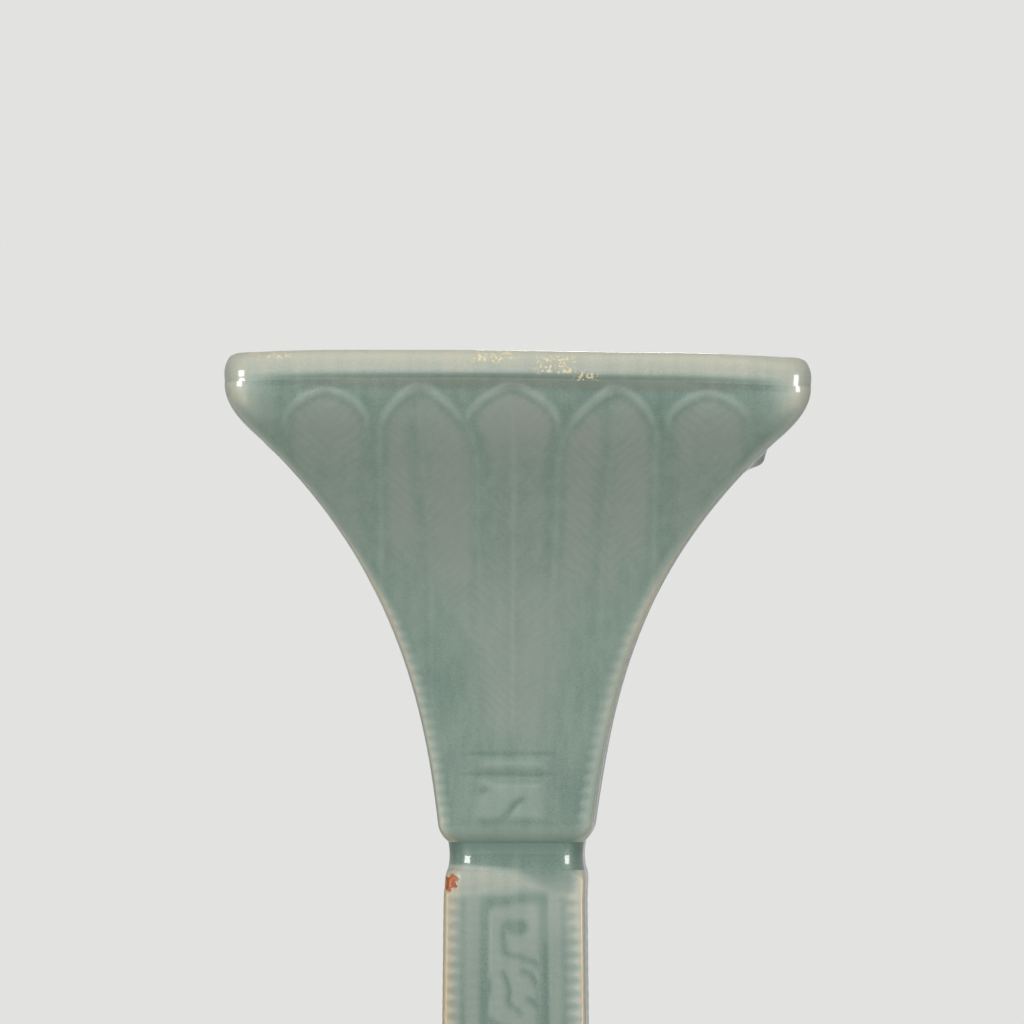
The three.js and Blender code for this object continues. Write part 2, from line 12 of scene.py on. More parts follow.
import bpy
import numpy as np
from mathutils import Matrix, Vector


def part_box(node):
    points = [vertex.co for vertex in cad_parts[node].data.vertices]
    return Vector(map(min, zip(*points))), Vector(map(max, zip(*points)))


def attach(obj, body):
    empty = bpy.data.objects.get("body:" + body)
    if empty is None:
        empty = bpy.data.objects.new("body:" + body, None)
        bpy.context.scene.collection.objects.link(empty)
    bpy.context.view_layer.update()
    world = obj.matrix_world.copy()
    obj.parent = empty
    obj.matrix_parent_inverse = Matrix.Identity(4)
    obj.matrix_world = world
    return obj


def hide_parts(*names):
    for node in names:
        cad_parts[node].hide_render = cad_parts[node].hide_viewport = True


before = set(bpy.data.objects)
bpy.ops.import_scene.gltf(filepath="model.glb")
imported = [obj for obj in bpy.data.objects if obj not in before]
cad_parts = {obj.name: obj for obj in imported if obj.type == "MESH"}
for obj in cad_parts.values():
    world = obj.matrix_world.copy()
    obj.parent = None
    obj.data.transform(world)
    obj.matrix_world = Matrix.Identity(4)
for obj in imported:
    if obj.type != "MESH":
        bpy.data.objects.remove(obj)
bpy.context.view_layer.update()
MM = 0.001
SIDES = ("front", "right", "back", "left")
CORNERS = ("front_right", "right_back", "back_left", "left_front")
print("solids in the frame:", len(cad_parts))

# %% [markdown]
# ## Heights
# The solids leave a hair of clearance between the sections. On the real vase the glaze has run into
# those joints, so each visible piece reaches to the middle of the clearance and touches its
# neighbour there.

# %% Section heights
CLEARANCE = 0.3


def section(node):
    low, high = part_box(node)
    return low.z / MM - CLEARANCE / 2, high.z / MM + CLEARANCE / 2


foot_bottom, foot_top = section("foot_wall_front")
stem_bottom, stem_top = section("stem_wall_front")
trumpet_bottom, trumpet_top = section("trumpet_wall_front")
lip_bottom = trumpet_top
lip_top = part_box("lip_front")[1].z / MM
print("trumpet from", round(trumpet_bottom, 2), "to", round(trumpet_top, 2), "mm")
print("lip up to", round(lip_top, 2), "mm")

# %% [markdown]
# ## Small tools
# A soft step and a soft ridge are the two shapes that a carver's tool leaves in wet clay. A soft box
# is two steps back to back, and the softer of two lines is the lower one with the bend eased. They
# are written once as functions, because the leaves, borders and scrolls are all drawn with them. The
# two insets say how far an edge is rounded back.

# %% Soft steps and ridges


def soft_step(start, end, value):
    share = np.clip((value - start) / (end - start), 0, 1)
    return share * share * (3 - 2 * share)


def soft_ridge(value, middle, width):
    return np.exp(-(((value - middle) / width) ** 2))


def soft_box(value, low, high, softness):
    rising = soft_step(low - softness, low + softness, value)
    return rising * soft_step(high + softness, high - softness, value)


def soft_smaller(a, b, softness):
    overlap = np.maximum(softness - np.abs(a - b), 0) / softness
    return np.minimum(a, b) - overlap * overlap * softness / 4


def rounded_inset(distance, across, along):
    share = np.clip(distance / along, 0, 1)
    return across * (1 - np.sqrt(1 - (1 - share) ** 2))


def eased_inset(distance, across, along):
    return across * (1 - np.clip(distance / along, 0, 1)) ** 2


# %% [markdown]
# ## How a wall is made
# The potter rolls a sheet of clay, presses it over a mould and carves it. The same is done here.
# A grid is the rolled sheet. It is laid up the outside of the wall, over the top edge, down the
# inside and back under, and its two ends are mitred at 45 degrees with the corner rounded over.
# A modelled box with bevels could give the outline, but not a carved face, which needs an even
# net of small quads to press the pattern into.

# %% Lay a sheet round a wall
CORNER_TURNS = np.radians([45, 44.5, 38, 31, 24, 17, 10.5, 4.5])


def wall_columns(cells):
    face = np.linspace(-1, 1, cells + 1)
    ends = np.ones(len(CORNER_TURNS))
    share = np.concatenate([-ends, face, ends])
    turn = np.concatenate([-CORNER_TURNS, np.zeros(cells + 1), CORNER_TURNS[::-1]])
    return share, turn


def lay_rows(columns, height, half, corner, bow):
    share, turn = columns
    height, half, corner, bow = (
        np.broadcast_to(value, height.shape)[:, None] for value in (height, half, corner, bow)
    )
    flat = half - corner
    x = share * flat + corner * np.sin(turn)
    y = -flat - corner * np.cos(turn) + bow * (1 - share**2) ** 2
    return np.stack([x, y, height + 0 * x], axis=-1)


def lay_sheet(name, places):
    rows, columns = places.shape[:2]
    bpy.ops.mesh.primitive_grid_add(x_subdivisions=columns - 1, y_subdivisions=rows - 1)
    sheet = bpy.context.object
    sheet.name = name
    sheet.data.vertices.foreach_set("co", (places * MM).ravel())
    sheet.data.update()
    return sheet


# %% [markdown]
# ## Carving and closing
# The carving is a vertex group: a weight says how deep the tool went. A Displace modifier pushes
# each vertex straight back by that weight and is applied. Then the sheet's first and last rows are
# merged, and the two mitred ends are filled, so the wall is one closed body.

# %% Carve and close
DEEPEST = 1.4
SAME_PLACE = 1e-7


def carve(sheet, depth):
    group = sheet.vertex_groups.new(name="carving")
    for index, weight in enumerate(depth.ravel() / DEEPEST):
        if weight > 0:
            group.add([index], float(min(weight, 1)), "REPLACE")
    tool = sheet.modifiers.new("carving", "DISPLACE")
    tool.vertex_group = "carving"
    tool.direction = "Y"
    tool.mid_level = 0
    tool.strength = DEEPEST * MM
    bpy.ops.object.modifier_apply(modifier=tool.name)
    sheet.vertex_groups.clear()


def edit_mesh():
    bpy.ops.object.mode_set(mode="EDIT")
    bpy.ops.mesh.select_all(action="SELECT")


def face_outwards():
    """Turns all faces outwards and leaves Edit mode."""
    bpy.ops.mesh.select_all(action="SELECT")
    bpy.ops.mesh.normals_make_consistent(inside=False)
    bpy.ops.object.mode_set(mode="OBJECT")


def smooth(angle):
    bpy.ops.object.shade_smooth_by_angle(angle=math.radians(angle))


def close_wall(smooth_angle=60):
    edit_mesh()
    bpy.ops.mesh.remove_doubles(threshold=SAME_PLACE)
    bpy.ops.mesh.fill_holes(sides=0)
    face_outwards()
    smooth(smooth_angle)


# %% [markdown]
# ## Where the glaze is thick or thin
# Celadon is a coloured glass. It runs off edges, which show the pale clay through it, and pools in
# hollows, which go deep green. Each vertex keeps a number for this: 0 is bare and pale, 0.5 is the
# even coat and 1 is a pool. It is found by comparing the carved depth with a blurred copy of itself.
# In a few places the same number also carries painted shade, making the colour darker under the lip, over
# the upper flare of the trumpet and at the top of the waist rings, and painted light, making the top of
# the lip lighter. Each is marked where it is added.

# %% Glaze thickness


def settle(depth, passes):
    for _ in range(passes):
        around = np.pad(depth, 1, mode="edge")
        beside = around[1:-1, :-2] + around[1:-1, 2:] + around[:-2, 1:-1] + around[2:, 1:-1]
        depth = 0.5 * depth + 0.125 * beside
    return depth


def pooled(depth):
    """Positive in hollows, negative on ridges."""
    return depth - settle(depth, 60)


def arris_line(arris):
    """One on a corner's edge, where the glaze runs thin, and soon nothing beside it."""
    return np.exp(-arris / 0.9)


def keep(sheet, name, values):
    layer = sheet.data.attributes.new(name, "FLOAT", "POINT")
    layer.data.foreach_set("value", np.ascontiguousarray(values, dtype=np.float32).ravel())


def make_wall(name, outside, inside, depth, glaze, blade, rib, inside_glaze=0.55):
    """Lays, carves, glazes and closes one wall; depth, glaze, blade and rib are for the outside rows."""
    places = np.concatenate([outside, inside, outside[:1]])

    def all_rows(values, inside_value):
        back = np.full(inside.shape[:2], inside_value)
        return np.concatenate([values, back, values[:1]])

    sheet = lay_sheet(name, places)
    keep(sheet, "glaze", all_rows(glaze, inside_glaze))
    keep(sheet, "blade", all_rows(blade, 0.0))
    keep(sheet, "rib", all_rows(rib, 0.0))
    carve(sheet, all_rows(depth, 0.0))
    close_wall()
    return sheet


# %% [markdown]
# ## The trumpet's shape
# The trumpet leaves the waist almost straight, opens faster and faster, and turns upright again
# just below the lip. The middle of each face turns up sooner than the corners, so the face is
# slightly hollow there.

# %% Trumpet profile
TRUMPET_HEIGHT = trumpet_top - trumpet_bottom
TRUMPET_BASE = 17.2
TRUMPET_CAP = 64.9
TRUMPET_REACH = 97.8
TRUMPET_LEAN = 0.126
TRUMPET_FLARE_POWER = 2.8
TRUMPET_WALL = 4.6
CORNER_BEND = 6
FACE_BEND = 12
SLOPE_STEP = 0.01


def trumpet_flare(z):
    spread = TRUMPET_CAP - TRUMPET_BASE - TRUMPET_LEAN * TRUMPET_REACH
    rise = np.maximum(z, 0) / TRUMPET_REACH
    return TRUMPET_BASE + TRUMPET_LEAN * z + spread * rise**TRUMPET_FLARE_POWER


def trumpet_corner_line(z):
    return soft_smaller(trumpet_flare(z), TRUMPET_CAP, CORNER_BEND)


def trumpet_bow(z):
    return trumpet_corner_line(z) - soft_smaller(trumpet_flare(z), TRUMPET_CAP, FACE_BEND)


def inner_line(profile, wall, z):
    slope = (profile(z + SLOPE_STEP) - profile(z - SLOPE_STEP)) / (2 * SLOPE_STEP)
    return profile(z) - wall * np.hypot(1, slope)


def trumpet_bore(z):
    return inner_line(trumpet_corner_line, TRUMPET_WALL, z)


def rounded_heights(along, steps):
    return along * (1 - np.cos(np.linspace(0, math.pi / 2, steps + 1)))


# %% [markdown]
# ## The trumpet's carving
# Five upright leaves stand side by side on each face, each outlined by a fine ridge that is
# strongest round its tip, a soft pointed arch. The second and fourth leaves lie over their
# neighbours. Along both corners runs a raised border whose inner edge is a row of soft teeth, and
# under the leaves are a short bar and a small hooked motif of the kind found on old bronzes. All of
# it is drawn in the plane of the face, in millimetres across and up, and it is shallow, because the
# glaze has half filled it. A painted height map could hold the same drawing, but functions keep it
# sharp on any net and leave every line easy to move.

# %% Borders
TOOTH_PITCH = 2.95
BORDER = 2.3


def toothed_ground(edge, along, width, teeth, softness):
    """Share of the ground beside a border whose inner edge runs in and out as a row of soft teeth."""
    line = width + teeth * np.cos(2 * math.pi * along / TOOTH_PITCH)
    return soft_step(line - softness, line + softness, edge)


# %% Leaf outlines
TIP_ROUND = 1.8
BLADE_EDGE = (0.8, 3.4)


def leaf_inside(offset, z, half_width, tip, arch):
    """How far a point is inside a leaf's outline; negative outside. The tip is a soft pointed arch."""
    share = np.clip(1 - (tip - z) / arch, 0, 1)
    slope = 2 * half_width / arch * share
    inside = (half_width * (1 - share**2) - np.hypot(offset, TIP_ROUND)) / np.hypot(1, slope)
    return inside - np.maximum(z - tip, 0)


def leaf_lines(inside, strength):
    outline = strength * soft_ridge(inside, 0.6, 0.85)
    hollow = 0.02 * soft_ridge(inside, 2.6, 1.2)
    body = 0.04 * soft_step(2.0, 5.0, inside)
    return outline + body - hollow


def distance_to_vein(x, axes):
    return np.min([np.abs(np.abs(x) - axis) for axis in axes], axis=0)


# %% Five leaves
OVER_AXIS = 21.8
OVER_TIP = 103.6
OUTER_AXIS = 42.4
OUTER_LEAF = (9.8, 102.4, 8.2)
MIDDLE_AXIS = -1.2
MIDDLE_LEAF = (11.0, 103.3, 10.0)
VEIN_AXES = (0, 21, 42)


def trumpet_leaves(x, z):
    """Height of the leaves above the ground, and how much a point belongs to a leaf's blade."""
    strength = 0.02 + 0.35 * soft_step(90, 98, z)
    offset = np.abs(x - 0.1) - OVER_AXIS
    half_width = np.where(offset < 0, 13.6 + 1.2 * soft_step(75, 45, z), 9.6)
    over = leaf_inside(offset, z, half_width, OVER_TIP, np.where(offset < 0, 18.5, 12.5))
    middle = leaf_inside(x - MIDDLE_AXIS, z, *MIDDLE_LEAF)
    outer = leaf_inside(np.abs(x) - OUTER_AXIS, z, *OUTER_LEAF)
    beside = soft_step(0.2, -0.8, over)
    edges = np.maximum(strength, 0.11 * soft_step(40, 60, z))
    height = beside * (leaf_lines(middle, strength) + leaf_lines(outer, strength))
    height += leaf_lines(over, edges)
    rib = x - np.sign(x) * (19.2 + 2.6 * soft_step(60, 100, z))
    rib_line = 0.05 * soft_ridge(rib, 0, 0.6) - 0.03 * soft_ridge(rib, -2.0, 1.6)
    height += soft_step(1, 5, over) * rib_line
    height += beside * 0.13 * soft_ridge(x, -0.8, 0.65) * soft_step(3, 8, middle)

    over_blade = soft_step(*BLADE_EDGE, over) * soft_step(52, 64, z)
    over_blade *= 1 - 0.7 * soft_ridge(rib, -1.4, 2.8)
    over_blade *= 1 - soft_step(-1, 2, offset) * soft_step(72, 60, z)
    middle_blade = soft_step(*BLADE_EDGE, middle) * soft_step(-0.4, -3.6, over)
    middle_blade *= 0.3 + 0.7 * soft_step(84, 93, z)
    outer_blade = beside * soft_step(*BLADE_EDGE, outer) * (0.3 + 0.6 * soft_step(82, 93, z))
    taper = 6 + 0.2 * (z - 22)
    low_blade = 0.6 * soft_step(taper + 5, taper - 5, np.abs(x)) * soft_step(76, 48, z)
    blade = np.max([over_blade, middle_blade, outer_blade, low_blade], axis=0)
    roots = soft_step(19, 30, z)
    return height * roots, blade * roots


# %% Bar and hooked motif
BAR_ACROSS = (-8.2, 6.0)
BAR_UP = (16.8, 18.4)
BLOCK_ACROSS = (-8.6, 6.0)
BLOCK_UP = (5.4, 13.6)
EYE = (-7.4, 11.9)


def trumpet_motif(x, z):
    """Height of the bar and the block, and where the glaze on the block is thick or thin."""
    bar = 0.16 * soft_box(x, *BAR_ACROSS, 1.6) * soft_box(z, *BAR_UP, 0.9)
    lines = 0.09 * soft_box(x, -12, 8.5, 2.0) * (soft_ridge(z, 20.1, 0.6) + soft_ridge(z, 15.4, 0.6))
    block = soft_box(x, *BLOCK_ACROSS, 1.5) * soft_box(z, *BLOCK_UP, 1.1)
    eye = soft_ridge(x, EYE[0], 1.5) * soft_ridge(z, EYE[1], 1.4)
    slit = soft_ridge(x, -0.6 + (z - 8) * 0.75, 1.5) * soft_step(11.2, 8.8, z)
    cut = np.clip(eye + slit, 0, 1)
    return bar - lines + 0.2 * block * (1 - 0.9 * cut), block * (1.6 * cut - 1)


# %% [markdown]
# The two drawings and the border are put together as a depth below the corner border, which is the
# uncarved face of the sheet. The border narrows and its teeth die out half way up.

# %% Trumpet relief
def trumpet_relief(x, z, edge):
    upper = soft_step(46, 72, z)
    side = np.sign(x)
    teeth = 0.22 * soft_step(62, 44, z) * soft_step(2.5, 4.5, z)
    width = BORDER + 0.15 + 0.4 * side - 0.7 * upper
    ground = toothed_ground(edge, z * (1.1 - 0.08 * side), width, teeth, 1.6)
    leaves, blade = trumpet_leaves(x, z)
    motif, tone = trumpet_motif(x, z)
    depth = ground * soft_step(1.6, 4.4, z) * (0.26 - leaves - motif)
    flush = 1 - soft_step(88, 98, z) * soft_step(16, 5, edge)
    return np.clip(depth * flush, 0, DEEPEST), blade * ground, ground, tone


# %% Trumpet wall
TRUMPET_ROOT = 4.0
FINE_ROWS = 58
TOP_ROWS = TRUMPET_HEIGHT - 2
INNER_ROUND = 0.6
trumpet_columns = wall_columns(216)
outer_heights = np.concatenate(
    [
        rounded_heights(TRUMPET_ROOT, 10),
        np.linspace(TRUMPET_ROOT, FINE_ROWS, 132)[1:],
        np.linspace(FINE_ROWS, TOP_ROWS, 80)[1:],
        np.linspace(TOP_ROWS, TRUMPET_HEIGHT, 9)[1:],
    ]
)
inner_heights = np.linspace(TRUMPET_HEIGHT, 0, 36)
outer_half = trumpet_corner_line(outer_heights) - eased_inset(outer_heights, 1.7, TRUMPET_ROOT)
outer_round = 1.6 + 3.0 * (outer_heights / TRUMPET_HEIGHT) ** 2
outer_round += eased_inset(outer_heights, 3.2, TRUMPET_ROOT)
outside = lay_rows(
    trumpet_columns, outer_heights + trumpet_bottom, outer_half, outer_round, trumpet_bow(outer_heights)
)
inside = lay_rows(
    trumpet_columns,
    inner_heights + trumpet_bottom,
    trumpet_bore(inner_heights),
    INNER_ROUND,
    trumpet_bow(inner_heights),
)

# %% Trumpet glaze
x = outside[..., 0]
z = outside[..., 2] - trumpet_bottom
arris = outer_half[:, None] - np.abs(x)
depth, blade, ground, tone = trumpet_relief(x, z, arris)
low_ground = soft_step(60, 30, z) * soft_step(0, 8, z) * (1 - blade)
right_of_motif = soft_step(6, 11, x) * soft_step(26, 12, z)
border_thin = 0.415 - 0.045 * np.sign(x)
# Just under the lip the colour is made deeper green: partly glaze pooled in the hollow, partly painted
# shade under the lip's overhang.
under_lip_pool_and_shade = soft_step(100.2, 102.4, z) * soft_step(5, 14, arris)
pale_corner = soft_step(92, 100, z) * soft_step(10.5, 3, arris)
# The 0.1 added from 50 to 78 mm up is painted shade: it darkens the upper flare, whose face turns
# downwards.
glaze = 0.63 + 0.1 * soft_step(50, 78, z) + 1.3 * pooled(depth) - 0.12 * blade
glaze += 0.13 * low_ground + 0.14 * tone + 0.08 * right_of_motif + 0.2 * under_lip_pool_and_shade
glaze -= border_thin * (1 - ground) + 0.1 * arris_line(arris)
glaze -= 0.05 * blade * soft_step(86, 96, z)
glaze = np.maximum(glaze + (0.24 - glaze) * pale_corner, 0.13)
rib = distance_to_vein(x, VEIN_AXES)
trumpet_wall = make_wall("trumpet_wall", outside, inside, depth, glaze, blade, rib)
print("trumpet wall:", len(trumpet_wall.data.vertices), "vertices")

# %% [markdown]
# ## The stem's carving
# The stem is a plain square tube. Each face has the toothed border at both corners, then a raised
# frame, a sunk channel, and inside it a raised scroll: a band that curls in on itself, drawn by
# soft grooves. The lower half repeats the main curl turned half round. A groove is a smooth path
# through a few points, and its depth falls off with the distance from that path.

# %% Scroll grooves
STEM_HEIGHT = stem_top - stem_bottom
CURL = ((-1.0, 11.7), (-2.1, 12.6), (-2.35, 14.4), (-2.2, 17.0), (-1.7, 18.9))
CURL += ((1.4, 19.7), (4.8, 20.9), (7.8, 22.6))
LEAFLETS = (
    ((-2.4, 23.2), (-1.6, 24.8), (-0.8, 27.6), (-0.9, 30.0), (1.6, 32.4)),
    ((2.2, 22.9), (4.0, 23.8), (5.4, 25.8)),
    ((3.4, 29.2), (4.6, 30.0), (6.2, 31.0)),
    ((-6.2, 33.6), (-3.4, 35.2), (0.4, 36.6)),
)


def smooth_path(points, steps=8):
    points = np.array(points, dtype=float)
    ends = np.concatenate([[2 * points[0] - points[1]], points, [2 * points[-1] - points[-2]]])
    path = []
    for a, b, c, d in zip(ends, ends[1:], ends[2:], ends[3:]):
        bend = 2 * a - 5 * b + 4 * c - d
        twist = 3 * b - a - 3 * c + d
        for t in np.linspace(0, 1, steps, endpoint=False):
            path.append(b + 0.5 * ((c - a) * t + bend * t**2 + twist * t**3))
    return np.array(path + [points[-1]])


def distance_to(path, x, t):
    nearest = np.full(x.shape, 1e3)
    for a, b in zip(path[:-1], path[1:]):
        along = b - a
        share = np.clip(((x - a[0]) * along[0] + (t - a[1]) * along[1]) / (along @ along), 0, 1)
        nearest = np.minimum(nearest, np.hypot(x - a[0] - share * along[0], t - a[1] - share * along[1]))
    return nearest


def curl_groove(x, t):
    eye = soft_step(1.35, 0.6, np.hypot((x - 1.1) / 2.8, (t - 13.0) / 2.1))
    return np.maximum(soft_ridge(distance_to(smooth_path(CURL), x, t), 0, 1.0), eye)


# %% Stem relief
STEM_BORDER = 2.7
STRIP = (4.0, 5.4)
CHANNEL = (8.0, 10.3)


def stem_relief(x, down, edge):
    """Shares of the ground beside the borders, of the line along their teeth and of what is sunk."""
    ends = np.minimum(down, STEM_HEIGHT - down)
    teeth = 1.25 * soft_step(4.0, 6.5, ends)
    ground = toothed_ground(edge, down + 0.2 - 0.37 * np.sign(x), STEM_BORDER, teeth, 1.75)
    strip = soft_box(edge, *STRIP, 0.6) * soft_step(5.0, 7.0, ends)
    margin = soft_smaller(edge, 4.5 + 0.75 * ends, 1.5)
    channel = soft_box(margin - 0.55 * soft_step(2, -2, x), *CHANNEL, 0.7)
    grooves = np.maximum(curl_groove(x, down), curl_groove(-x, STEM_HEIGHT - down))
    for points in LEAFLETS:
        grooves = np.maximum(grooves, soft_ridge(distance_to(smooth_path(points), x, down), 0, 0.95))
    beside = soft_box(x, 5.4, 8.0, 0.9) * soft_box(down, 25, 36, 2.0)
    beside = np.maximum(beside, soft_box(x, -7.0, -4.8, 0.9) * soft_box(down, 24, 29, 1.6))
    sunk = np.maximum(channel, soft_step(9.6, 10.8, margin) * np.maximum(grooves, beside))
    sunk *= 1 - 0.3 * soft_step(5, 8, x) * soft_box(down, 9, 18, 3)
    return ground, strip, sunk


# %% Stem wall
STEM_EDGE = 2.6


def stem_line(z):
    return 16.65 - 0.6 * z / STEM_HEIGHT


def stem_bore(z):
    return 12.0 - 0.65 * z / STEM_HEIGHT


stem_columns = wall_columns(132)
edge_heights = rounded_heights(STEM_EDGE, 10)
face_heights = np.linspace(STEM_EDGE, STEM_HEIGHT - STEM_EDGE, 170)[1:-1]
outer_heights = np.concatenate([edge_heights, face_heights, STEM_HEIGHT - edge_heights[::-1]])
to_end = np.minimum(outer_heights, STEM_HEIGHT - outer_heights)
outer_half = stem_line(outer_heights) - eased_inset(to_end, 0.35, STEM_EDGE)
outer_round = 1.2 + eased_inset(to_end, 3.2, STEM_EDGE)
inner_heights = np.linspace(STEM_HEIGHT, 0, 12)
outside = lay_rows(stem_columns, outer_heights + stem_bottom, outer_half, outer_round, 0)
inside = lay_rows(stem_columns, inner_heights + stem_bottom, stem_bore(inner_heights), 0.5, 0)

# %% Stem glaze
x = outside[..., 0]
down = STEM_HEIGHT - (outside[..., 2] - stem_bottom)
arris = outer_half[:, None] - np.abs(x)
ground, strip, sunk = stem_relief(x, down, arris)
in_face = soft_step(1.0, 4.0, arris)
depth = 0.12 * ground * soft_step(0.5, 3.0, to_end)[:, None] + 0.03 * strip + 0.1 * sunk
glaze = 0.44 - 0.24 * (1 - ground) - 0.06 * arris_line(arris) + 0.22 * strip + 0.36 * sunk
run_edge = 5.6 * soft_step(-3, 11, x) - 0.6
run = soft_step(-1.2, 1.4, run_edge - down) * in_face
top_zone = soft_step(7.0, 5.0, down) * in_face
glaze += 0.3 * run * soft_step(6.5, 0, down) - 0.15 * (1 - run) * top_zone
panel = soft_step(8.5, 6.0, np.abs(x))
glaze += 0.22 * soft_step(5, 25, down) * ground * (1 - 0.4 * panel)
upper_right = soft_step(1, 5, x) * soft_step(18, 12, down) * soft_step(5, 8, down)
glaze -= 0.1 * upper_right * ground
glaze = np.maximum(settle(glaze, 8), 0.1)
greyed = 0.4 * ground * (1 - strip) * (1 - sunk) * soft_step(1.0, 4.0, down)
plain = np.zeros(glaze.shape)
stem_wall = make_wall("stem_wall", outside, inside, depth, glaze, settle(greyed, 8), plain)
print("stem wall:", len(stem_wall.data.vertices), "vertices")

# %% [markdown]
# ## The foot's carving
# The foot mirrors the trumpet: it spreads downwards and ends in an upright band. Three leaves hang
# on each face with their tips down, and the toothed border runs along the upper part of the corners.
# The trumpet's leaf and border functions are used again, measured from the top down.

# %% Foot profile
FOOT_HEIGHT = foot_top - foot_bottom
FOOT_WALL = 5.0
FOOT_EDGE = 3.0
FOOT_LEAN = 0.1
FOOT_FLARE_POWER = 2.3
FOOT_NECK = 17.2
FOOT_SPREAD = 42.2
PLINTH = 9.15
PLINTH_HALF = 43.5
PLINTH_EDGE = 1.2
FOOT_REACH = FOOT_HEIGHT - PLINTH


def foot_flare(z):
    fall = np.clip(FOOT_HEIGHT - z, 0, FOOT_REACH)
    spread = FOOT_SPREAD - FOOT_NECK - FOOT_LEAN * FOOT_REACH
    return FOOT_NECK + FOOT_LEAN * fall + spread * (fall / FOOT_REACH) ** FOOT_FLARE_POWER


def foot_line(z):
    plinth = PLINTH_HALF - rounded_inset(PLINTH - z, 1.3, PLINTH_EDGE)
    line = np.where(z < PLINTH, plinth, foot_flare(z))
    return line - rounded_inset(FOOT_HEIGHT - z, 1.7, FOOT_EDGE)


def foot_bore(z):
    return inner_line(foot_flare, FOOT_WALL, z)


# %% Foot relief
HANGING_AXIS = 21.4
HANGING_HALF = 10.4
HANGING_TIP_AND_ARCH = (53, 13)


def foot_relief(x, fall, edge):
    teeth = 0.22 * soft_step(36, 24, fall) * soft_step(2.5, 4.5, fall)
    ground = toothed_ground(edge, fall, BORDER, teeth, 1.5)
    field = soft_step(1.6, 3.4, fall) * soft_step(FOOT_REACH - 0.4, FOOT_REACH - 2.4, fall)
    strength = 0.03 + 0.14 * soft_step(38, 46, fall)
    over = leaf_inside(np.abs(x) - HANGING_AXIS, fall, HANGING_HALF, *HANGING_TIP_AND_ARCH)
    narrowed = HANGING_HALF - 4.4 * soft_step(42, 14, fall)
    middle = leaf_inside(x, fall, narrowed, *HANGING_TIP_AND_ARCH)
    beside = soft_step(0.2, -0.6, over)
    leaves = leaf_lines(over, strength) + beside * leaf_lines(middle, strength)
    leaves += 0.08 * soft_ridge(x, 0, 0.5) * soft_step(3, 6, middle)
    leaves += soft_step(1, 5, over) * 0.08 * soft_ridge(np.abs(x), HANGING_AXIS, 0.5)
    roots = soft_step(6, 11, fall)
    blade = np.clip(soft_step(1.5, 3, over) + beside * soft_step(1.5, 3, middle), 0, 1) * roots
    depth = ground * field * (0.26 - leaves * roots)
    return np.clip(depth, 0, DEEPEST), blade * ground * field


# %% Foot wall
foot_columns = wall_columns(180)
outer_heights = np.concatenate(
    [
        np.linspace(0, PLINTH - PLINTH_EDGE, 10)[:-1],
        PLINTH - rounded_heights(PLINTH_EDGE, 8)[::-1],
        np.linspace(PLINTH + 0.02, FOOT_HEIGHT - FOOT_EDGE, 124),
        FOOT_HEIGHT - rounded_heights(FOOT_EDGE, 8)[::-1][1:],
    ]
)
inner_heights = np.linspace(FOOT_HEIGHT, 0, 24)
outer_half = foot_line(outer_heights)
outside = lay_rows(foot_columns, outer_heights + foot_bottom, outer_half, 1.8, 0)
inside = lay_rows(foot_columns, inner_heights + foot_bottom, foot_bore(inner_heights), INNER_ROUND, 0)
x = outside[..., 0]
fall = FOOT_HEIGHT - (outside[..., 2] - foot_bottom)
arris = outer_half[:, None] - np.abs(x)
depth, blade = foot_relief(x, fall, arris)
edge_ground = toothed_ground(arris, fall, BORDER, 0, 1.5)
glaze = 0.6 + 1.3 * pooled(depth) - 0.1 * blade - 0.4 * (1 - edge_ground)
glaze -= 0.1 * arris_line(arris)
glaze -= 0.2 * soft_ridge(fall, FOOT_REACH + 0.6, 0.8)
glaze += 0.4 * soft_ridge(fall, FOOT_REACH - 0.6, 0.8)
glaze = np.maximum(glaze, 0.08)
rib = distance_to_vein(x, (0, HANGING_AXIS))
foot_wall = make_wall("foot_wall", outside, inside, depth, glaze, blade, rib)
print("foot wall:", len(foot_wall.data.vertices), "vertices")

# %% [markdown]
# ## Copies for the four sides
# Each wall is made once for the front. The other three are copies, turned a quarter at a time. The
# turn is applied at once, so each copy keeps its place in its own mesh.

# %% Turn the copies
def copy_of(original, name):
    bpy.ops.object.select_all(action="DESELECT")
    original.select_set(True)
    bpy.context.view_layer.objects.active = original
    bpy.ops.object.duplicate()
    copy = bpy.context.object
    copy.name = name
    copy.data.name = name
    return copy


def turned_copies(front, names):
    stem_name = front.name
    pieces = []
    for quarter, name in enumerate(names):
        piece = copy_of(front, stem_name + "_" + name + "_dressed")
        piece.rotation_euler.z = quarter * math.pi / 2
        bpy.ops.object.transform_apply(location=False, rotation=True, scale=False)
        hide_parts(stem_name + "_" + name)
        pieces.append(piece)
    bpy.data.objects.remove(front, do_unlink=True)
    return pieces


glazed_pieces = []
for wall in (trumpet_wall, stem_wall, foot_wall):
    glazed_pieces += turned_copies(wall, SIDES)
print("walls:", len(glazed_pieces))

# %% [markdown]
# ## Square hoops
# The two waist rings and the foot ring are square hoops. A plane is inset, its middle is deleted, and
# the frame that is left is extruded up. The upright corners are bevelled, which rounds the plan, and
# a Bevel modifier rounds the rims of the foot ring. The long edges are subdivided so that the kiln's
# warp can bend them later. A cube with a hole cut by a Boolean would leave longer, uneven faces.

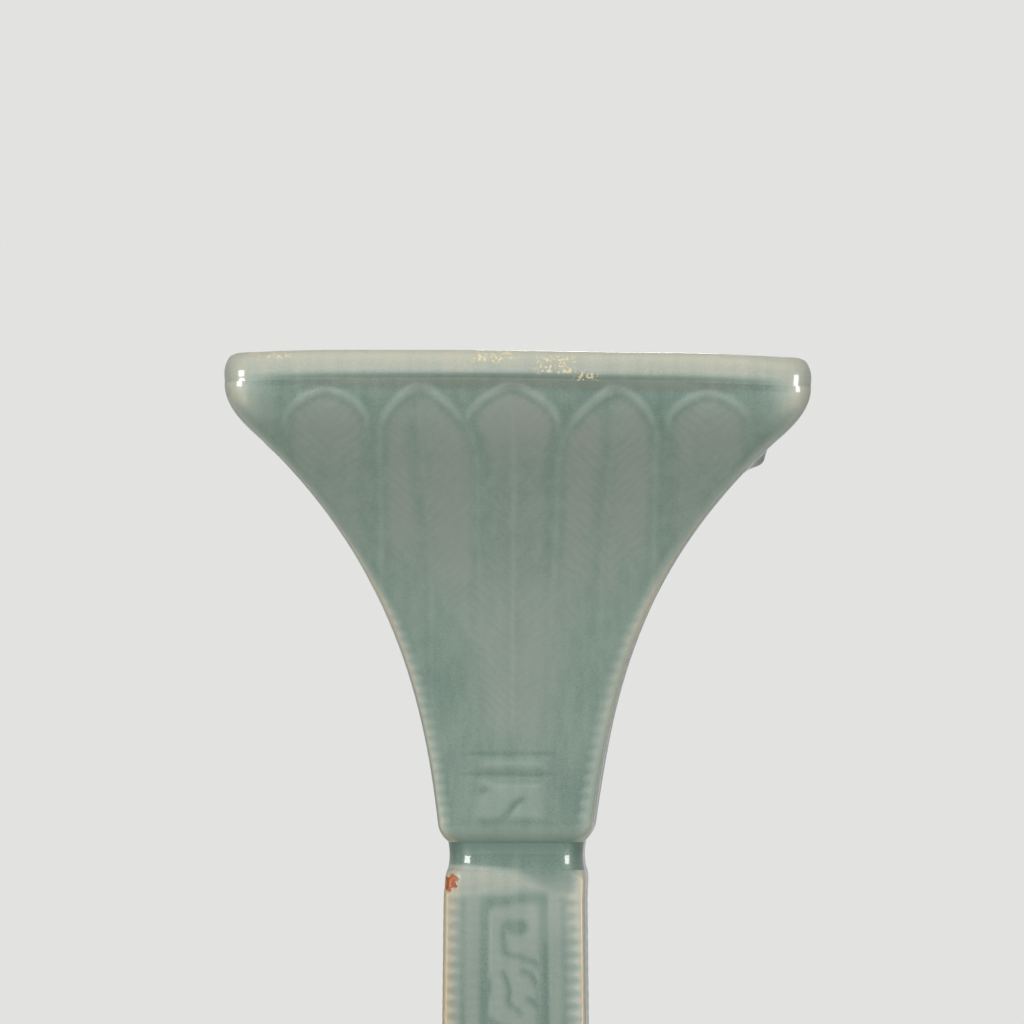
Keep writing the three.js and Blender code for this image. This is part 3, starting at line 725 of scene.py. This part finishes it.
# %% Hoop tools
def pick_edges(piece, test):
    """Selects the edges that pass a test and goes into Edit mode."""
    mesh = piece.data
    bpy.context.tool_settings.mesh_select_mode = (False, True, False)
    places = np.array([v.co[:] for v in mesh.vertices]) / MM
    for layer in (mesh.vertices, mesh.edges, mesh.polygons):
        layer.foreach_set("select", np.zeros(len(layer), dtype=bool))
    for edge in mesh.edges:
        a, b = (places[v] for v in edge.vertices)
        edge.select = bool(test(a, b))
    bpy.ops.object.mode_set(mode="EDIT")


def bevel_edges(piece, test, width, segments):
    pick_edges(piece, test)
    bpy.ops.mesh.bevel(offset=width * MM, segments=segments, affect="EDGES", clamp_overlap=False)
    bpy.ops.object.mode_set(mode="OBJECT")


def cut_edges(piece, test, cuts):
    pick_edges(piece, test)
    bpy.ops.mesh.subdivide(number_cuts=cuts)
    bpy.ops.object.mode_set(mode="OBJECT")


def square_hoop(name, outer, inner, bottom, top, corner, inner_corner, rim, cuts):
    """A square hoop with rounded corners; rim rounds its four long edges."""
    bpy.ops.mesh.primitive_plane_add(size=2 * outer * MM, location=(0, 0, bottom * MM))
    hoop = bpy.context.object
    hoop.name = name
    bpy.ops.object.transform_apply(location=True, rotation=False, scale=False)
    edit_mesh()
    bpy.ops.mesh.inset(thickness=(outer - inner) * MM)
    bpy.ops.mesh.delete(type="FACE")
    bpy.ops.mesh.select_all(action="SELECT")
    bpy.ops.mesh.extrude_region_move(TRANSFORM_OT_translate={"value": (0, 0, (top - bottom) * MM)})
    face_outwards()
    middle = (outer + inner) / 2

    def out(p):
        return max(abs(p[0]), abs(p[1])) > middle

    def upright(a, b):
        return abs(a[2] - b[2]) > (top - bottom) / 2

    bevel_edges(hoop, lambda a, b: upright(a, b) and out(a), corner, 12)
    bevel_edges(hoop, lambda a, b: upright(a, b) and not out(a), inner_corner, 6)
    if rim:
        rounding = hoop.modifiers.new("rims", "BEVEL")
        rounding.width = rim * MM
        rounding.segments = 4
        rounding.limit_method = "ANGLE"
        rounding.angle_limit = math.radians(60)
        bpy.ops.object.modifier_apply(modifier=rounding.name)
    cut_edges(hoop, lambda a, b: np.linalg.norm(a - b) > inner and abs(a[2] - b[2]) < 0.01, cuts)
    return hoop


def mitred_strips(hoop, stem_name):
    """Cuts a hoop along its diagonals into four strips, one for each side."""
    strips = []
    for quarter, side in enumerate(SIDES):
        strip = copy_of(hoop, stem_name + "_" + side + "_dressed")
        bpy.ops.object.mode_set(mode="EDIT")
        for tilt in (math.pi / 4, 3 * math.pi / 4):
            angle = tilt + quarter * math.pi / 2
            bpy.ops.mesh.select_all(action="SELECT")
            bpy.ops.mesh.bisect(
                plane_co=(0, 0, 0),
                plane_no=(math.cos(angle), math.sin(angle), 0),
                use_fill=True,
                clear_outer=True,
            )
        face_outwards()
        smooth(50)
        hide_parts(stem_name + "_" + side)
        strips.append(strip)
    bpy.data.objects.remove(hoop, do_unlink=True)
    return strips


def vertex_places(piece):
    places = np.empty(len(piece.data.vertices) * 3, dtype=np.float32)
    piece.data.vertices.foreach_get("co", places)
    return places.reshape(-1, 3).astype(float) / MM


def set_places(piece, places):
    piece.data.vertices.foreach_set("co", (places * MM).astype(np.float32).ravel())
    piece.data.update()


# %% [markdown]
# ## The lip
# The lip is a thick rounded strip. Its glaze has run thin, so it is the palest part, and it is made
# lighter still towards its top as painted light on the rounded rim. Under it a soft hollow holds pooled
# glaze, made darker as painted shade under the overhang. It is laid as a sheet like the walls, so that
# its rounding can grow towards the corners, where lip and wall run together into one smooth bulge.

# %% Lip strips
LIP_OUTER = 65.0
LIP_THICKNESS = 6.4
LIP_CORNER = 5.2
LIP_HEIGHT = lip_top - lip_bottom
LIP_HOLLOW = 1.7
LIP_INNER_EDGE = 2.2
LIP_UNDER_EDGE = 0.4


def lip_sheet(columns, across, along):
    """Outside and inside rows of a lip; across and along give the rounding of its upper edge."""
    rise = np.concatenate(
        [
            np.linspace(0, LIP_HOLLOW, 10),
            np.linspace(LIP_HOLLOW, LIP_HEIGHT - along, 4)[1:-1],
            LIP_HEIGHT - rounded_heights(along, 12)[::-1],
        ]
    )
    hollow = soft_step(LIP_HOLLOW, 0, rise)
    inset = rounded_inset(LIP_HEIGHT - rise, across, along)
    half = LIP_OUTER - inset - 0.1 * hollow
    bow = hollow * trumpet_bow(TRUMPET_HEIGHT)
    outside = lay_rows(columns, rise + lip_bottom, half, LIP_CORNER - 0.5 * inset, bow)
    x = outside[..., 0]
    joint = np.full(x.shape, TRUMPET_HEIGHT)
    under = trumpet_relief(x, joint, LIP_OUTER - 0.1 - np.abs(x))[0]
    outside[..., 1] += hollow[:, None] * under * (np.abs(columns[1]) < 0.1)
    fall = np.concatenate([rounded_heights(LIP_INNER_EDGE, 8), [LIP_HEIGHT - LIP_UNDER_EDGE, LIP_HEIGHT]])
    depth = LIP_THICKNESS - rounded_inset(fall, LIP_INNER_EDGE, LIP_INNER_EDGE)
    depth -= rounded_inset(LIP_HEIGHT - fall, LIP_UNDER_EDGE, LIP_UNDER_EDGE)
    inside = lay_rows(columns, lip_top - fall, LIP_OUTER - depth, 1.4, 0)
    return outside, inside


lip_columns = wall_columns(120)
near_corner = soft_step(52, 60, np.abs(lip_columns[0]) * (LIP_OUTER - LIP_CORNER))[None, :, None]
plain_lip = lip_sheet(lip_columns, 1.7, 3.0)
corner_lip = lip_sheet(lip_columns, 3.2, 4.4)
outside, inside = (a + near_corner * (b - a) for a, b in zip(plain_lip, corner_lip))
rise = outside[..., 2] - lip_bottom
to_corner = LIP_OUTER - np.abs(outside[..., 0])
hollow_pool_and_shade = soft_step(2.2, 0.0, rise) * soft_step(4, 13, to_corner)
# Lighter towards the top as painted light on the rim; darker in the hollow as pooled glaze and painted
# shade.
glaze = 0.29 - 0.08 * soft_step(2, 6.5, rise) + 0.54 * hollow_pool_and_shade
plain = np.zeros(glaze.shape)
lip = make_wall("lip", outside, inside, plain, glaze, plain, plain, 0.3)
glazed_pieces += turned_copies(lip, SIDES)
print("lip strips:", len(SIDES))

# %% [markdown]
# ## Waist rings and foot ring
# The waist rings are small and pinched, and almost all of their glaze is pooled. Their upper part is
# made darker as painted shade under the piece above. The foot ring was wiped clean before firing and
# shows bare clay.

# %% Waist rings
RING_OUTER = 15.3
RING_INNER = 10.5


def waist_ring(node, top_reach, bottom_reach, pale):
    """A ring that widens to its two reaches; pale says how far its lower edge has drained."""
    bottom, top = section(node)
    ring = square_hoop(node + "_dressed", RING_OUTER, RING_INNER, bottom, top, 5.6, 1.2, 0, 9)
    cut_edges(ring, lambda a, b: abs(a[2] - b[2]) > 1, 19)
    places = vertex_places(ring)
    share = (places[:, 2] - bottom) / (top - bottom) * 2 - 1
    outer = np.abs(places[:, :2]).max(axis=1) > 12.0
    spread = (top_reach - RING_OUTER) * np.maximum(share, 0) ** 2
    spread += (bottom_reach - RING_OUTER) * np.maximum(-share, 0) ** 2
    places[:, :2] *= (1 + outer * spread / RING_OUTER)[:, None]
    set_places(ring, places)
    x, y, _ = places.T
    joint = -1 + 0.4 * soft_step(8, -14, x)
    drained = soft_step(joint + 0.12, joint - 0.12, share) * soft_step(9, -9, x) * soft_step(-4, -12, y)
    # 0.12 * share darkens the upper part of the ring as painted shade under the overhang above.
    keep(ring, "glaze", 0.9 + 0.12 * share - pale * drained)
    smooth(50)
    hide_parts(node)
    return ring


glazed_pieces.append(waist_ring("upper_waist_ring", 15.6, 15.7, 0.5))
glazed_pieces.append(waist_ring("lower_waist_ring", 16.0, 15.5, 0))

# %% Foot ring strips
ring_hoop = square_hoop("foot_ring", 41.9, 36.9, 0, foot_bottom, 1.8, 0.8, 0.4, 29)
clay_pieces = mitred_strips(ring_hoop, "foot_ring")
print("hoops and strips done:", len(glazed_pieces) + len(clay_pieces), "pieces so far")

# %% [markdown]
# ## Floor and seam coils
# A slab closes the bottom of the stem, and its top is slightly dished where the glaze collected. In
# every inside corner the potter pressed a thin coil of clay to strengthen the seam. A coil is a grid
# again, this time rolled round its own section: two sides lie on the walls and the third is a smooth
# hollow.

# %% Floor slab
floor_low, floor_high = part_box("floor_slab")
bpy.ops.mesh.primitive_cube_add(size=1)
floor_slab = bpy.context.object
floor_slab.name = "floor_slab_dressed"
floor_slab.dimensions = floor_high - floor_low
floor_slab.location = (floor_low + floor_high) / 2
bpy.ops.object.transform_apply(location=True, rotation=False, scale=True)
bpy.ops.object.mode_set(mode="EDIT")
bpy.ops.mesh.select_all(action="DESELECT")
bpy.ops.object.mode_set(mode="OBJECT")
for face in floor_slab.data.polygons:
    face.select = face.normal.z > 0.9
bpy.context.tool_settings.mesh_select_mode = (False, False, True)
bpy.ops.object.mode_set(mode="EDIT")
for step in range(5):
    bpy.ops.mesh.inset(thickness=2.0 * MM, depth=-(0.35 - 0.06 * step) * MM)
bpy.ops.object.mode_set(mode="OBJECT")
smooth(40)
keep(floor_slab, "glaze", np.full(len(floor_slab.data.vertices), 0.85))
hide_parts("floor_slab")
glazed_pieces.append(floor_slab)

# %% Seam coils
COIL_POINTS = 9


def seam_coil(name, heights, level, inner, leg):
    """A coil in the front-right corner, with its hollow side towards the axis."""
    share = np.linspace(0, 1, COIL_POINTS)
    hollow_in = (1 - share) ** 2 + 0.6 * share * (1 - share)
    hollow_up = share**2 + 0.6 * share * (1 - share)
    across = np.concatenate([hollow_in[:-1], [0, 0, 0, 0.5, 1]])
    along = np.concatenate([hollow_up[:-1], [1, 0.5, 0, 0, 0]])
    corner = inner(heights)[:, None]
    x = corner - leg * across
    y = -corner + leg * along
    z = (heights + level)[:, None] + 0 * x
    coil = lay_sheet(name, np.stack([x, y, z], axis=-1))
    close_wall(50)
    keep(coil, "glaze", np.full(len(coil.data.vertices), 0.7))
    return coil


floor_top = floor_high.z / MM - stem_bottom
SEAMS = (
    ("trumpet_coil", np.linspace(0, TRUMPET_HEIGHT, 60), trumpet_bottom, trumpet_bore, 3.4),
    ("stem_coil", np.linspace(floor_top, STEM_HEIGHT, 16), stem_bottom, stem_bore, 2.2),
    ("foot_coil", np.linspace(0, FOOT_HEIGHT, 50), foot_bottom, foot_bore, 3.2),
)
for seam in SEAMS:
    glazed_pieces += turned_copies(seam_coil(*seam), CORNERS)
print("all pieces:", len(glazed_pieces) + len(clay_pieces))

# %% [markdown]
# ## What the kiln did
# A fired vase is never quite true. The stem has turned a degree one way and the mouth a degree the
# other way, the trumpet leans by half a millimetre, the right half of the mouth has sunk, and so have
# its corners, the front right one most. A lump of glaze sits on the right wall, a chip is gone from
# one upper corner of the stem, and cream flecks show on the lip. These are moves by place, so they
# bend all pieces that meet there alike. A Lattice could bend them too, but not in so few numbers.

# %% Lump, chip and flecks
CHIP_PLACE = np.array([-15.2, -16.2, stem_top - 2.8])
LUMP_PLACE = np.array([54.0, -30.0, trumpet_bottom + 87.5])
BURNT_PLACE = np.array([-15.4, -15.4, trumpet_bottom + 1.0])
STEM_ARRIS = 16.2
FLECKS = (
    (-10.0, -1.2, 3.8, 6.2),
    (4.2, 12.5, 1.4, 5.2),
    (13.0, 17.4, -0.6, 2.0),
    (-59.0, -50.0, 5.0, 6.4),
)


def away_from(places, point, stretch=(1, 1, 1)):
    return np.linalg.norm((places - point) / np.array(stretch), axis=1)


for piece in glazed_pieces:
    places = vertex_places(piece)
    x, y, z = places.T
    if piece.name.startswith("stem_wall"):
        ragged = 0.35 * np.sin(3.1 * z + 2.3 * x)
        chipped = soft_step(1.7, 1.1, away_from(places, CHIP_PLACE, (1.35, 1.35, 1.3)) + ragged)
        right_arris = np.hypot(x - STEM_ARRIS, y + STEM_ARRIS)
        left_arris = np.hypot(x + STEM_ARRIS, y + STEM_ARRIS)
        right_brown = 0.26 * soft_step(1.6, 0.4, right_arris)
        left_brown = 0.36 * soft_step(4.0, 0.5, left_arris)
        keep(piece, "bare", np.max([chipped, right_brown, left_brown], axis=0))
        places[:, :2] += 0.4 * chipped[:, None]
    if piece.name.startswith("trumpet_wall"):
        burnt = away_from(places, BURNT_PLACE, (2.2, 2.2, 0.7))
        keep(piece, "bare", 0.25 * soft_step(1.6, 0.6, burnt))
    if piece.name.startswith("trumpet_wall_right"):
        lump = soft_ridge(away_from(places, LUMP_PLACE, (2.6, 2.8, 2.4)), 0, 1)
        lump *= soft_step(49, 52, x)
        places += lump[:, None] * np.array([1.3, 0, -0.9])
    if piece.name.startswith("lip_front"):
        rise = z - lip_bottom
        boxes = [soft_box(x, a, b, 0.8) * soft_box(rise, c, d, 0.5) for a, b, c, d in FLECKS]
        keep(piece, "fleck", np.clip(sum(boxes), 0, 1) * (y < -60))
    if piece.name.startswith(("lip", "trumpet_wall")):
        aside = np.minimum(np.abs(x), np.abs(y))
        # A grey-brown band of painted shade is laid along the joint under the lip, fading towards the
        # corners.
        keep(piece, "warm", soft_ridge(z, lip_bottom - 0.6, 1.3) * soft_step(59, 40, aside))
    set_places(piece, places)


# %% Kiln warp
def kiln_warp(places):
    x, y, z = places.T
    height = soft_step(195, 246, z)
    across, deep = x / LIP_OUTER, y / LIP_OUTER
    to_right = soft_step(0.5, 1.0, across) * soft_step(0.1, 0.9, -deep)
    to_left = soft_step(0.6, 1.0, -across) * soft_step(0.1, 0.9, -deep)
    to_back = soft_step(0.5, 1.0, np.abs(across)) * soft_step(0.1, 0.9, deep)
    tilt = 0.6 * soft_step(-0.2, 0.55, across)
    sunk = z - height * (tilt + 1.0 * to_right + 0.5 * to_left + 0.3 * to_back)
    turn = np.radians(2 * soft_step(stem_top, lip_top, z) - 1)
    lean = 0.3 * soft_step(stem_top - 8, stem_top, z)
    lean += 0.25 * soft_step(stem_top, 160, z) * soft_step(240, 215, z)
    turned_x = x * np.cos(turn) - y * np.sin(turn) + lean
    turned_y = x * np.sin(turn) + y * np.cos(turn)
    return np.stack([turned_x, turned_y, sunk], axis=1)


for piece in glazed_pieces + clay_pieces:
    set_places(piece, kiln_warp(vertex_places(piece)))
print("warped", len(glazed_pieces + clay_pieces), "pieces")

# %% [markdown]
# ## The glaze
# One material covers every glazed piece. The glaze number of each vertex picks the colour between
# bare cream edges and deep green pools. A slow cloudiness, upright streaks, a fine bubble speckle and
# a faint combing on the leaves break it up. A clear coat gives the glassy shine and is thinner where
# the glaze is thin, and gone where the clay is bare. Vertex paint alone could not hold the speckle,
# and noise alone would not know where the glaze pools, so the two are added.

# %% Colours
def srgb(red, green, blue):
    values = np.array([red, green, blue]) / 255
    linear = np.where(values <= 0.04045, values / 12.92, ((values + 0.055) / 1.055) ** 2.4)
    return (*linear, 1)


def new_material(name):
    material = bpy.data.materials.new(name)
    material.use_nodes = True
    tree = material.node_tree
    return material, tree, tree.nodes["Principled BSDF"]


# %% Value nodes
def set_inputs(node, values):
    """Sets each named or numbered input to a value, or links it to another node's socket."""
    for key, value in values.items():
        if isinstance(value, bpy.types.NodeSocket):
            node.id_data.links.new(value, node.inputs[key])
        else:
            node.inputs[key].default_value = value


def new_node(tree, kind, values, **settings):
    node = tree.nodes.new("ShaderNode" + kind)
    for name, value in settings.items():
        setattr(node, name, value)
    set_inputs(node, values)
    return node


def value_of(tree, operation, first, second):
    node = new_node(tree, "Math", {0: first, 1: second}, operation=operation)
    return node.outputs["Value"]


def spread_of(tree, value, start, end, low, high):
    """Spreads the range from start to end so that it runs from low to high."""
    limits = {"From Min": start, "From Max": end, "To Min": low, "To Max": high}
    return new_node(tree, "MapRange", {"Value": value, **limits}).outputs["Result"]


def object_place(tree):
    return new_node(tree, "TexCoord", {}).outputs["Object"]


def raw_noise(tree, scale, detail, upright=1.0):
    """Noise on Object coordinates; a small upright value draws it out into streaks."""
    factors = {0: object_place(tree), 1: (1, 1, upright)}
    drawn = new_node(tree, "VectorMath", factors, operation="MULTIPLY").outputs["Vector"]
    noise = new_node(tree, "TexNoise", {"Vector": drawn, "Scale": scale, "Detail": detail})
    return noise.outputs["Fac"]


def noise_of(tree, scale, detail, low, high, upright=1.0):
    return spread_of(tree, raw_noise(tree, scale, detail, upright), 0.3, 0.7, low, high)


def kept_value(tree, name):
    return new_node(tree, "Attribute", {}, attribute_name=name).outputs["Fac"]


# %% Colour and bump nodes
def tone_ramp(tree, factor, stops):
    ramp = new_node(tree, "ValToRGB", {"Fac": factor})
    first, last = ramp.color_ramp.elements
    first.position, first.color = stops[0]
    last.position, last.color = stops[-1]
    for position, colour in stops[1:-1]:
        ramp.color_ramp.elements.new(position).color = colour
    return ramp.outputs["Color"]


def mixed_colour(tree, factor, first, second):
    """A Mix node's colours are its inputs 6 and 7 and its output 2."""
    node = new_node(tree, "Mix", {0: factor, 6: first, 7: second}, data_type="RGBA")
    return node.outputs[2]


def bump_of(tree, height, strength, distance):
    values = {"Height": height, "Strength": strength, "Distance": distance}
    return new_node(tree, "Bump", values).outputs["Normal"]


# %% Celadon glaze
VEIN_RATE = 2600
VEIN_SLANT = 2.2
celadon, tree, shader = new_material("celadon_glaze")
axes = new_node(tree, "SeparateXYZ", {"Vector": object_place(tree)})
coat = kept_value(tree, "glaze")
blade = kept_value(tree, "blade")
slant = value_of(tree, "MULTIPLY", kept_value(tree, "rib"), VEIN_SLANT)
wander = value_of(tree, "ADD", slant, noise_of(tree, 120, 2, -2.5, 2.5))
rising = value_of(tree, "MULTIPLY", axes.outputs["Z"], VEIN_RATE)
rising = value_of(tree, "SUBTRACT", rising, wander)
vein = value_of(tree, "MULTIPLY", value_of(tree, "SINE", rising, 0), blade)
combing = value_of(tree, "MULTIPLY", vein, noise_of(tree, 90, 2, 0.0, 1.0))
cloud = noise_of(tree, 38, 4, -0.05, 0.05)
speckle = noise_of(tree, 2800, 2, -0.08, 0.08)
streaks = noise_of(tree, 420, 2, -0.06, 0.06, 0.06)
mottle = value_of(tree, "ADD", value_of(tree, "ADD", cloud, speckle), streaks)
mottle = value_of(tree, "MULTIPLY", mottle, coat)
depth = value_of(tree, "ADD", coat, value_of(tree, "MULTIPLY", mottle, 1.6))
depth = value_of(tree, "ADD", depth, value_of(tree, "MULTIPLY", combing, 0.09))
glaze_colour = tone_ramp(
    tree,
    depth,
    (
        (0.0, srgb(190, 146, 104)),
        (0.07, srgb(200, 184, 154)),
        (0.2, srgb(184, 183, 166)),
        (0.36, srgb(149, 161, 149)),
        (0.52, srgb(133, 150, 138)),
        (0.75, srgb(116, 137, 125)),
        (1.0, srgb(88, 116, 104)),
    ),
)
dots = value_of(tree, "MULTIPLY", speckle, 1.5)
grey_share = value_of(tree, "SUBTRACT", noise_of(tree, 60, 3, 0.45, 0.8), dots)
grey_blade = value_of(tree, "MULTIPLY", blade, grey_share)
glaze_colour = mixed_colour(tree, grey_blade, glaze_colour, srgb(136, 144, 136))
# The grey-brown colour mixed in here is painted shade under the lip.
lip_joint_shade_share = value_of(tree, "MULTIPLY", kept_value(tree, "warm"), 0.5)
lip_joint_shaded_colour = mixed_colour(tree, lip_joint_shade_share, glaze_colour, srgb(112, 108, 94))
bare = kept_value(tree, "bare")
burnt_colour = tone_ramp(tree, bare, ((0.4, srgb(172, 136, 76)), (0.8, srgb(166, 84, 28))))
chip_colour = mixed_colour(tree, bare, lip_joint_shaded_colour, burnt_colour)
crumbs = value_of(tree, "GREATER_THAN", noise_of(tree, 1500, 2, 0.0, 1.0), 0.66)
fleck = value_of(tree, "MULTIPLY", kept_value(tree, "fleck"), crumbs)
set_inputs(shader, {"Base Color": mixed_colour(tree, fleck, chip_colour, srgb(216, 202, 162))})

# %% Glaze shine
shine = spread_of(tree, coat, 0.1, 0.22, 0.1, 1.0)
shine = value_of(tree, "MULTIPLY", shine, spread_of(tree, bare, 0.0, 0.3, 1.0, 0.0))
set_inputs(shader, {"Roughness": 0.36, "IOR": 1.5, "Coat Roughness": 0.05, "Coat Weight": shine})
bubbles = value_of(tree, "ADD", cloud, value_of(tree, "MULTIPLY", combing, 0.05))
set_inputs(shader, {"Normal": bump_of(tree, bubbles, 0.06, 0.0004)})
for piece in glazed_pieces:
    piece.data.materials.append(celadon)
    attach(piece, "root")

# %% Bare clay
bare_clay, tree, shader = new_material("bare_clay")
grit = raw_noise(tree, 260, 6)
clay_colour = tone_ramp(tree, grit, ((0.3, srgb(128, 74, 48)), (0.7, srgb(182, 118, 80))))
set_inputs(shader, {"Base Color": clay_colour, "Roughness": 0.85})
set_inputs(shader, {"Normal": bump_of(tree, grit, 0.4, 0.0003)})
for piece in clay_pieces:
    piece.data.materials.append(bare_clay)
    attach(piece, "root")

# %% [markdown]
# ## Floor, light and camera
# The floor is pale and fades into the background. A soft box overhead and a fill in front and behind
# light the vase but aren't mirrored in it, because the glaze shows only two small highlights. Those
# come from two shine lamps, which are seen as reflections alone, and a small rim lamp lights the lip.
# The camera is far away with a long lens, level with the lower trumpet, and looks at the vase's
# front from slightly to its right.

# %% Pale floor
BACKGROUND = srgb(226, 227, 225)


def blend_shaders(tree, factor, first, second, output):
    blend = new_node(tree, "MixShader", {0: factor, 1: first.outputs[0], 2: second.outputs[0]})
    set_inputs(tree.nodes[output], {"Surface": blend.outputs["Shader"]})


bpy.ops.mesh.primitive_plane_add(size=3, location=(0, 0, -0.0002))
floor = bpy.context.object
floor.name = "pale_floor"
pale, tree, shader = new_material("pale_floor")
set_inputs(shader, {"Base Color": srgb(228, 228, 224), "Roughness": 0.9})
reach = new_node(tree, "VectorMath", {0: object_place(tree)}, operation="LENGTH")
limits = {"Value": reach.outputs["Value"], "From Min": 0.1, "From Max": 0.75}
fade = new_node(tree, "MapRange", limits, interpolation_type="SMOOTHSTEP")
seen = new_node(tree, "LightPath", {})
far_floor = new_node(tree, "Emission", {"Color": BACKGROUND})
faded = value_of(tree, "MULTIPLY", fade.outputs["Result"], seen.outputs["Is Camera Ray"])
blend_shaders(tree, faded, shader, far_floor, "Material Output")
floor.data.materials.append(pale)

# %% Surroundings
scene = bpy.context.scene
scene.view_settings.view_transform = "Standard"
world = bpy.data.worlds.new("studio")
scene.world = world
world.use_nodes = True
tree = world.node_tree
surround = tree.nodes["Background"]
set_inputs(surround, {"Color": srgb(235, 236, 236), "Strength": 0.28})
behind = new_node(tree, "Background", {"Color": BACKGROUND})
seen = new_node(tree, "LightPath", {})
mirrored = value_of(tree, "MAXIMUM", seen.outputs["Is Glossy Ray"], seen.outputs["Is Transmission Ray"])
dimmed = value_of(tree, "MULTIPLY", mirrored, 0.4)
chosen = value_of(tree, "MAXIMUM", seen.outputs["Is Camera Ray"], dimmed)
blend_shaders(tree, chosen, surround, behind, "World Output")

# %% Lamps
AIM = (0, 0, 0.16)


def soft_light(name, place, aim, size, power):
    bpy.ops.object.light_add(type="AREA", location=place)
    lamp = bpy.context.object
    lamp.name = name
    lamp.data.shape = "RECTANGLE"
    lamp.data.size, lamp.data.size_y = size
    lamp.data.energy = power
    lamp.rotation_euler = (Vector(aim) - Vector(place)).to_track_quat("-Z", "Y").to_euler()
    return lamp


overhead = soft_light("overhead_box", (-0.1, -0.95, 1.0), AIM, (0.9, 0.6), 8.2)
front_fill = soft_light("front_fill", (0, -1.35, 0.35), AIM, (1.1, 0.7), 5.8)
back_fill = soft_light("back_fill", (0, 1.35, 0.6), AIM, (1.1, 0.7), 6.0)
for fill in (overhead, front_fill, back_fill):
    fill.visible_glossy = False
left_shine = soft_light("left_shine", (-0.55, -0.95, 0.25), AIM, (0.5, 0.3), 6.2)
right_shine = soft_light("right_shine", (0.7, -0.8, 0.25), (0, 0, 0.18), (0.4, 0.36), 5.4)
for shine in (left_shine, right_shine):
    shine.visible_diffuse = False
soft_light("rim_lamp", (0.03, 0.5, 0.75), (0.02, -0.06, 0.24), (0.1, 0.1), 0.5)

# %% Camera
CAMERA_DISTANCE = 1400
CAMERA_AZIMUTH = math.radians(1.0)
CAMERA_SHIFT = -1.0
EYE_HEIGHT = 171.9
MIDDLE_HEIGHT = 215.3
SENSOR_WIDTH = 36
PICTURE_WIDTH = 1024 * 0.2311
camera_data = bpy.data.cameras.new("photo_camera")
camera = bpy.data.objects.new("photo_camera", camera_data)
scene.collection.objects.link(camera)
view_side = np.array([math.cos(CAMERA_AZIMUTH), math.sin(CAMERA_AZIMUTH)])
view_back = np.array([math.sin(CAMERA_AZIMUTH), -math.cos(CAMERA_AZIMUTH)])
foot_point = view_side * CAMERA_SHIFT + view_back * CAMERA_DISTANCE
camera.location = (foot_point[0] * MM, foot_point[1] * MM, EYE_HEIGHT * MM)
look_up = math.atan2(MIDDLE_HEIGHT - EYE_HEIGHT, CAMERA_DISTANCE)
camera.rotation_euler = (math.pi / 2 + look_up, 0, CAMERA_AZIMUTH)
camera_data.sensor_width = SENSOR_WIDTH
camera_data.lens = SENSOR_WIDTH * CAMERA_DISTANCE / PICTURE_WIDTH
scene.camera = camera
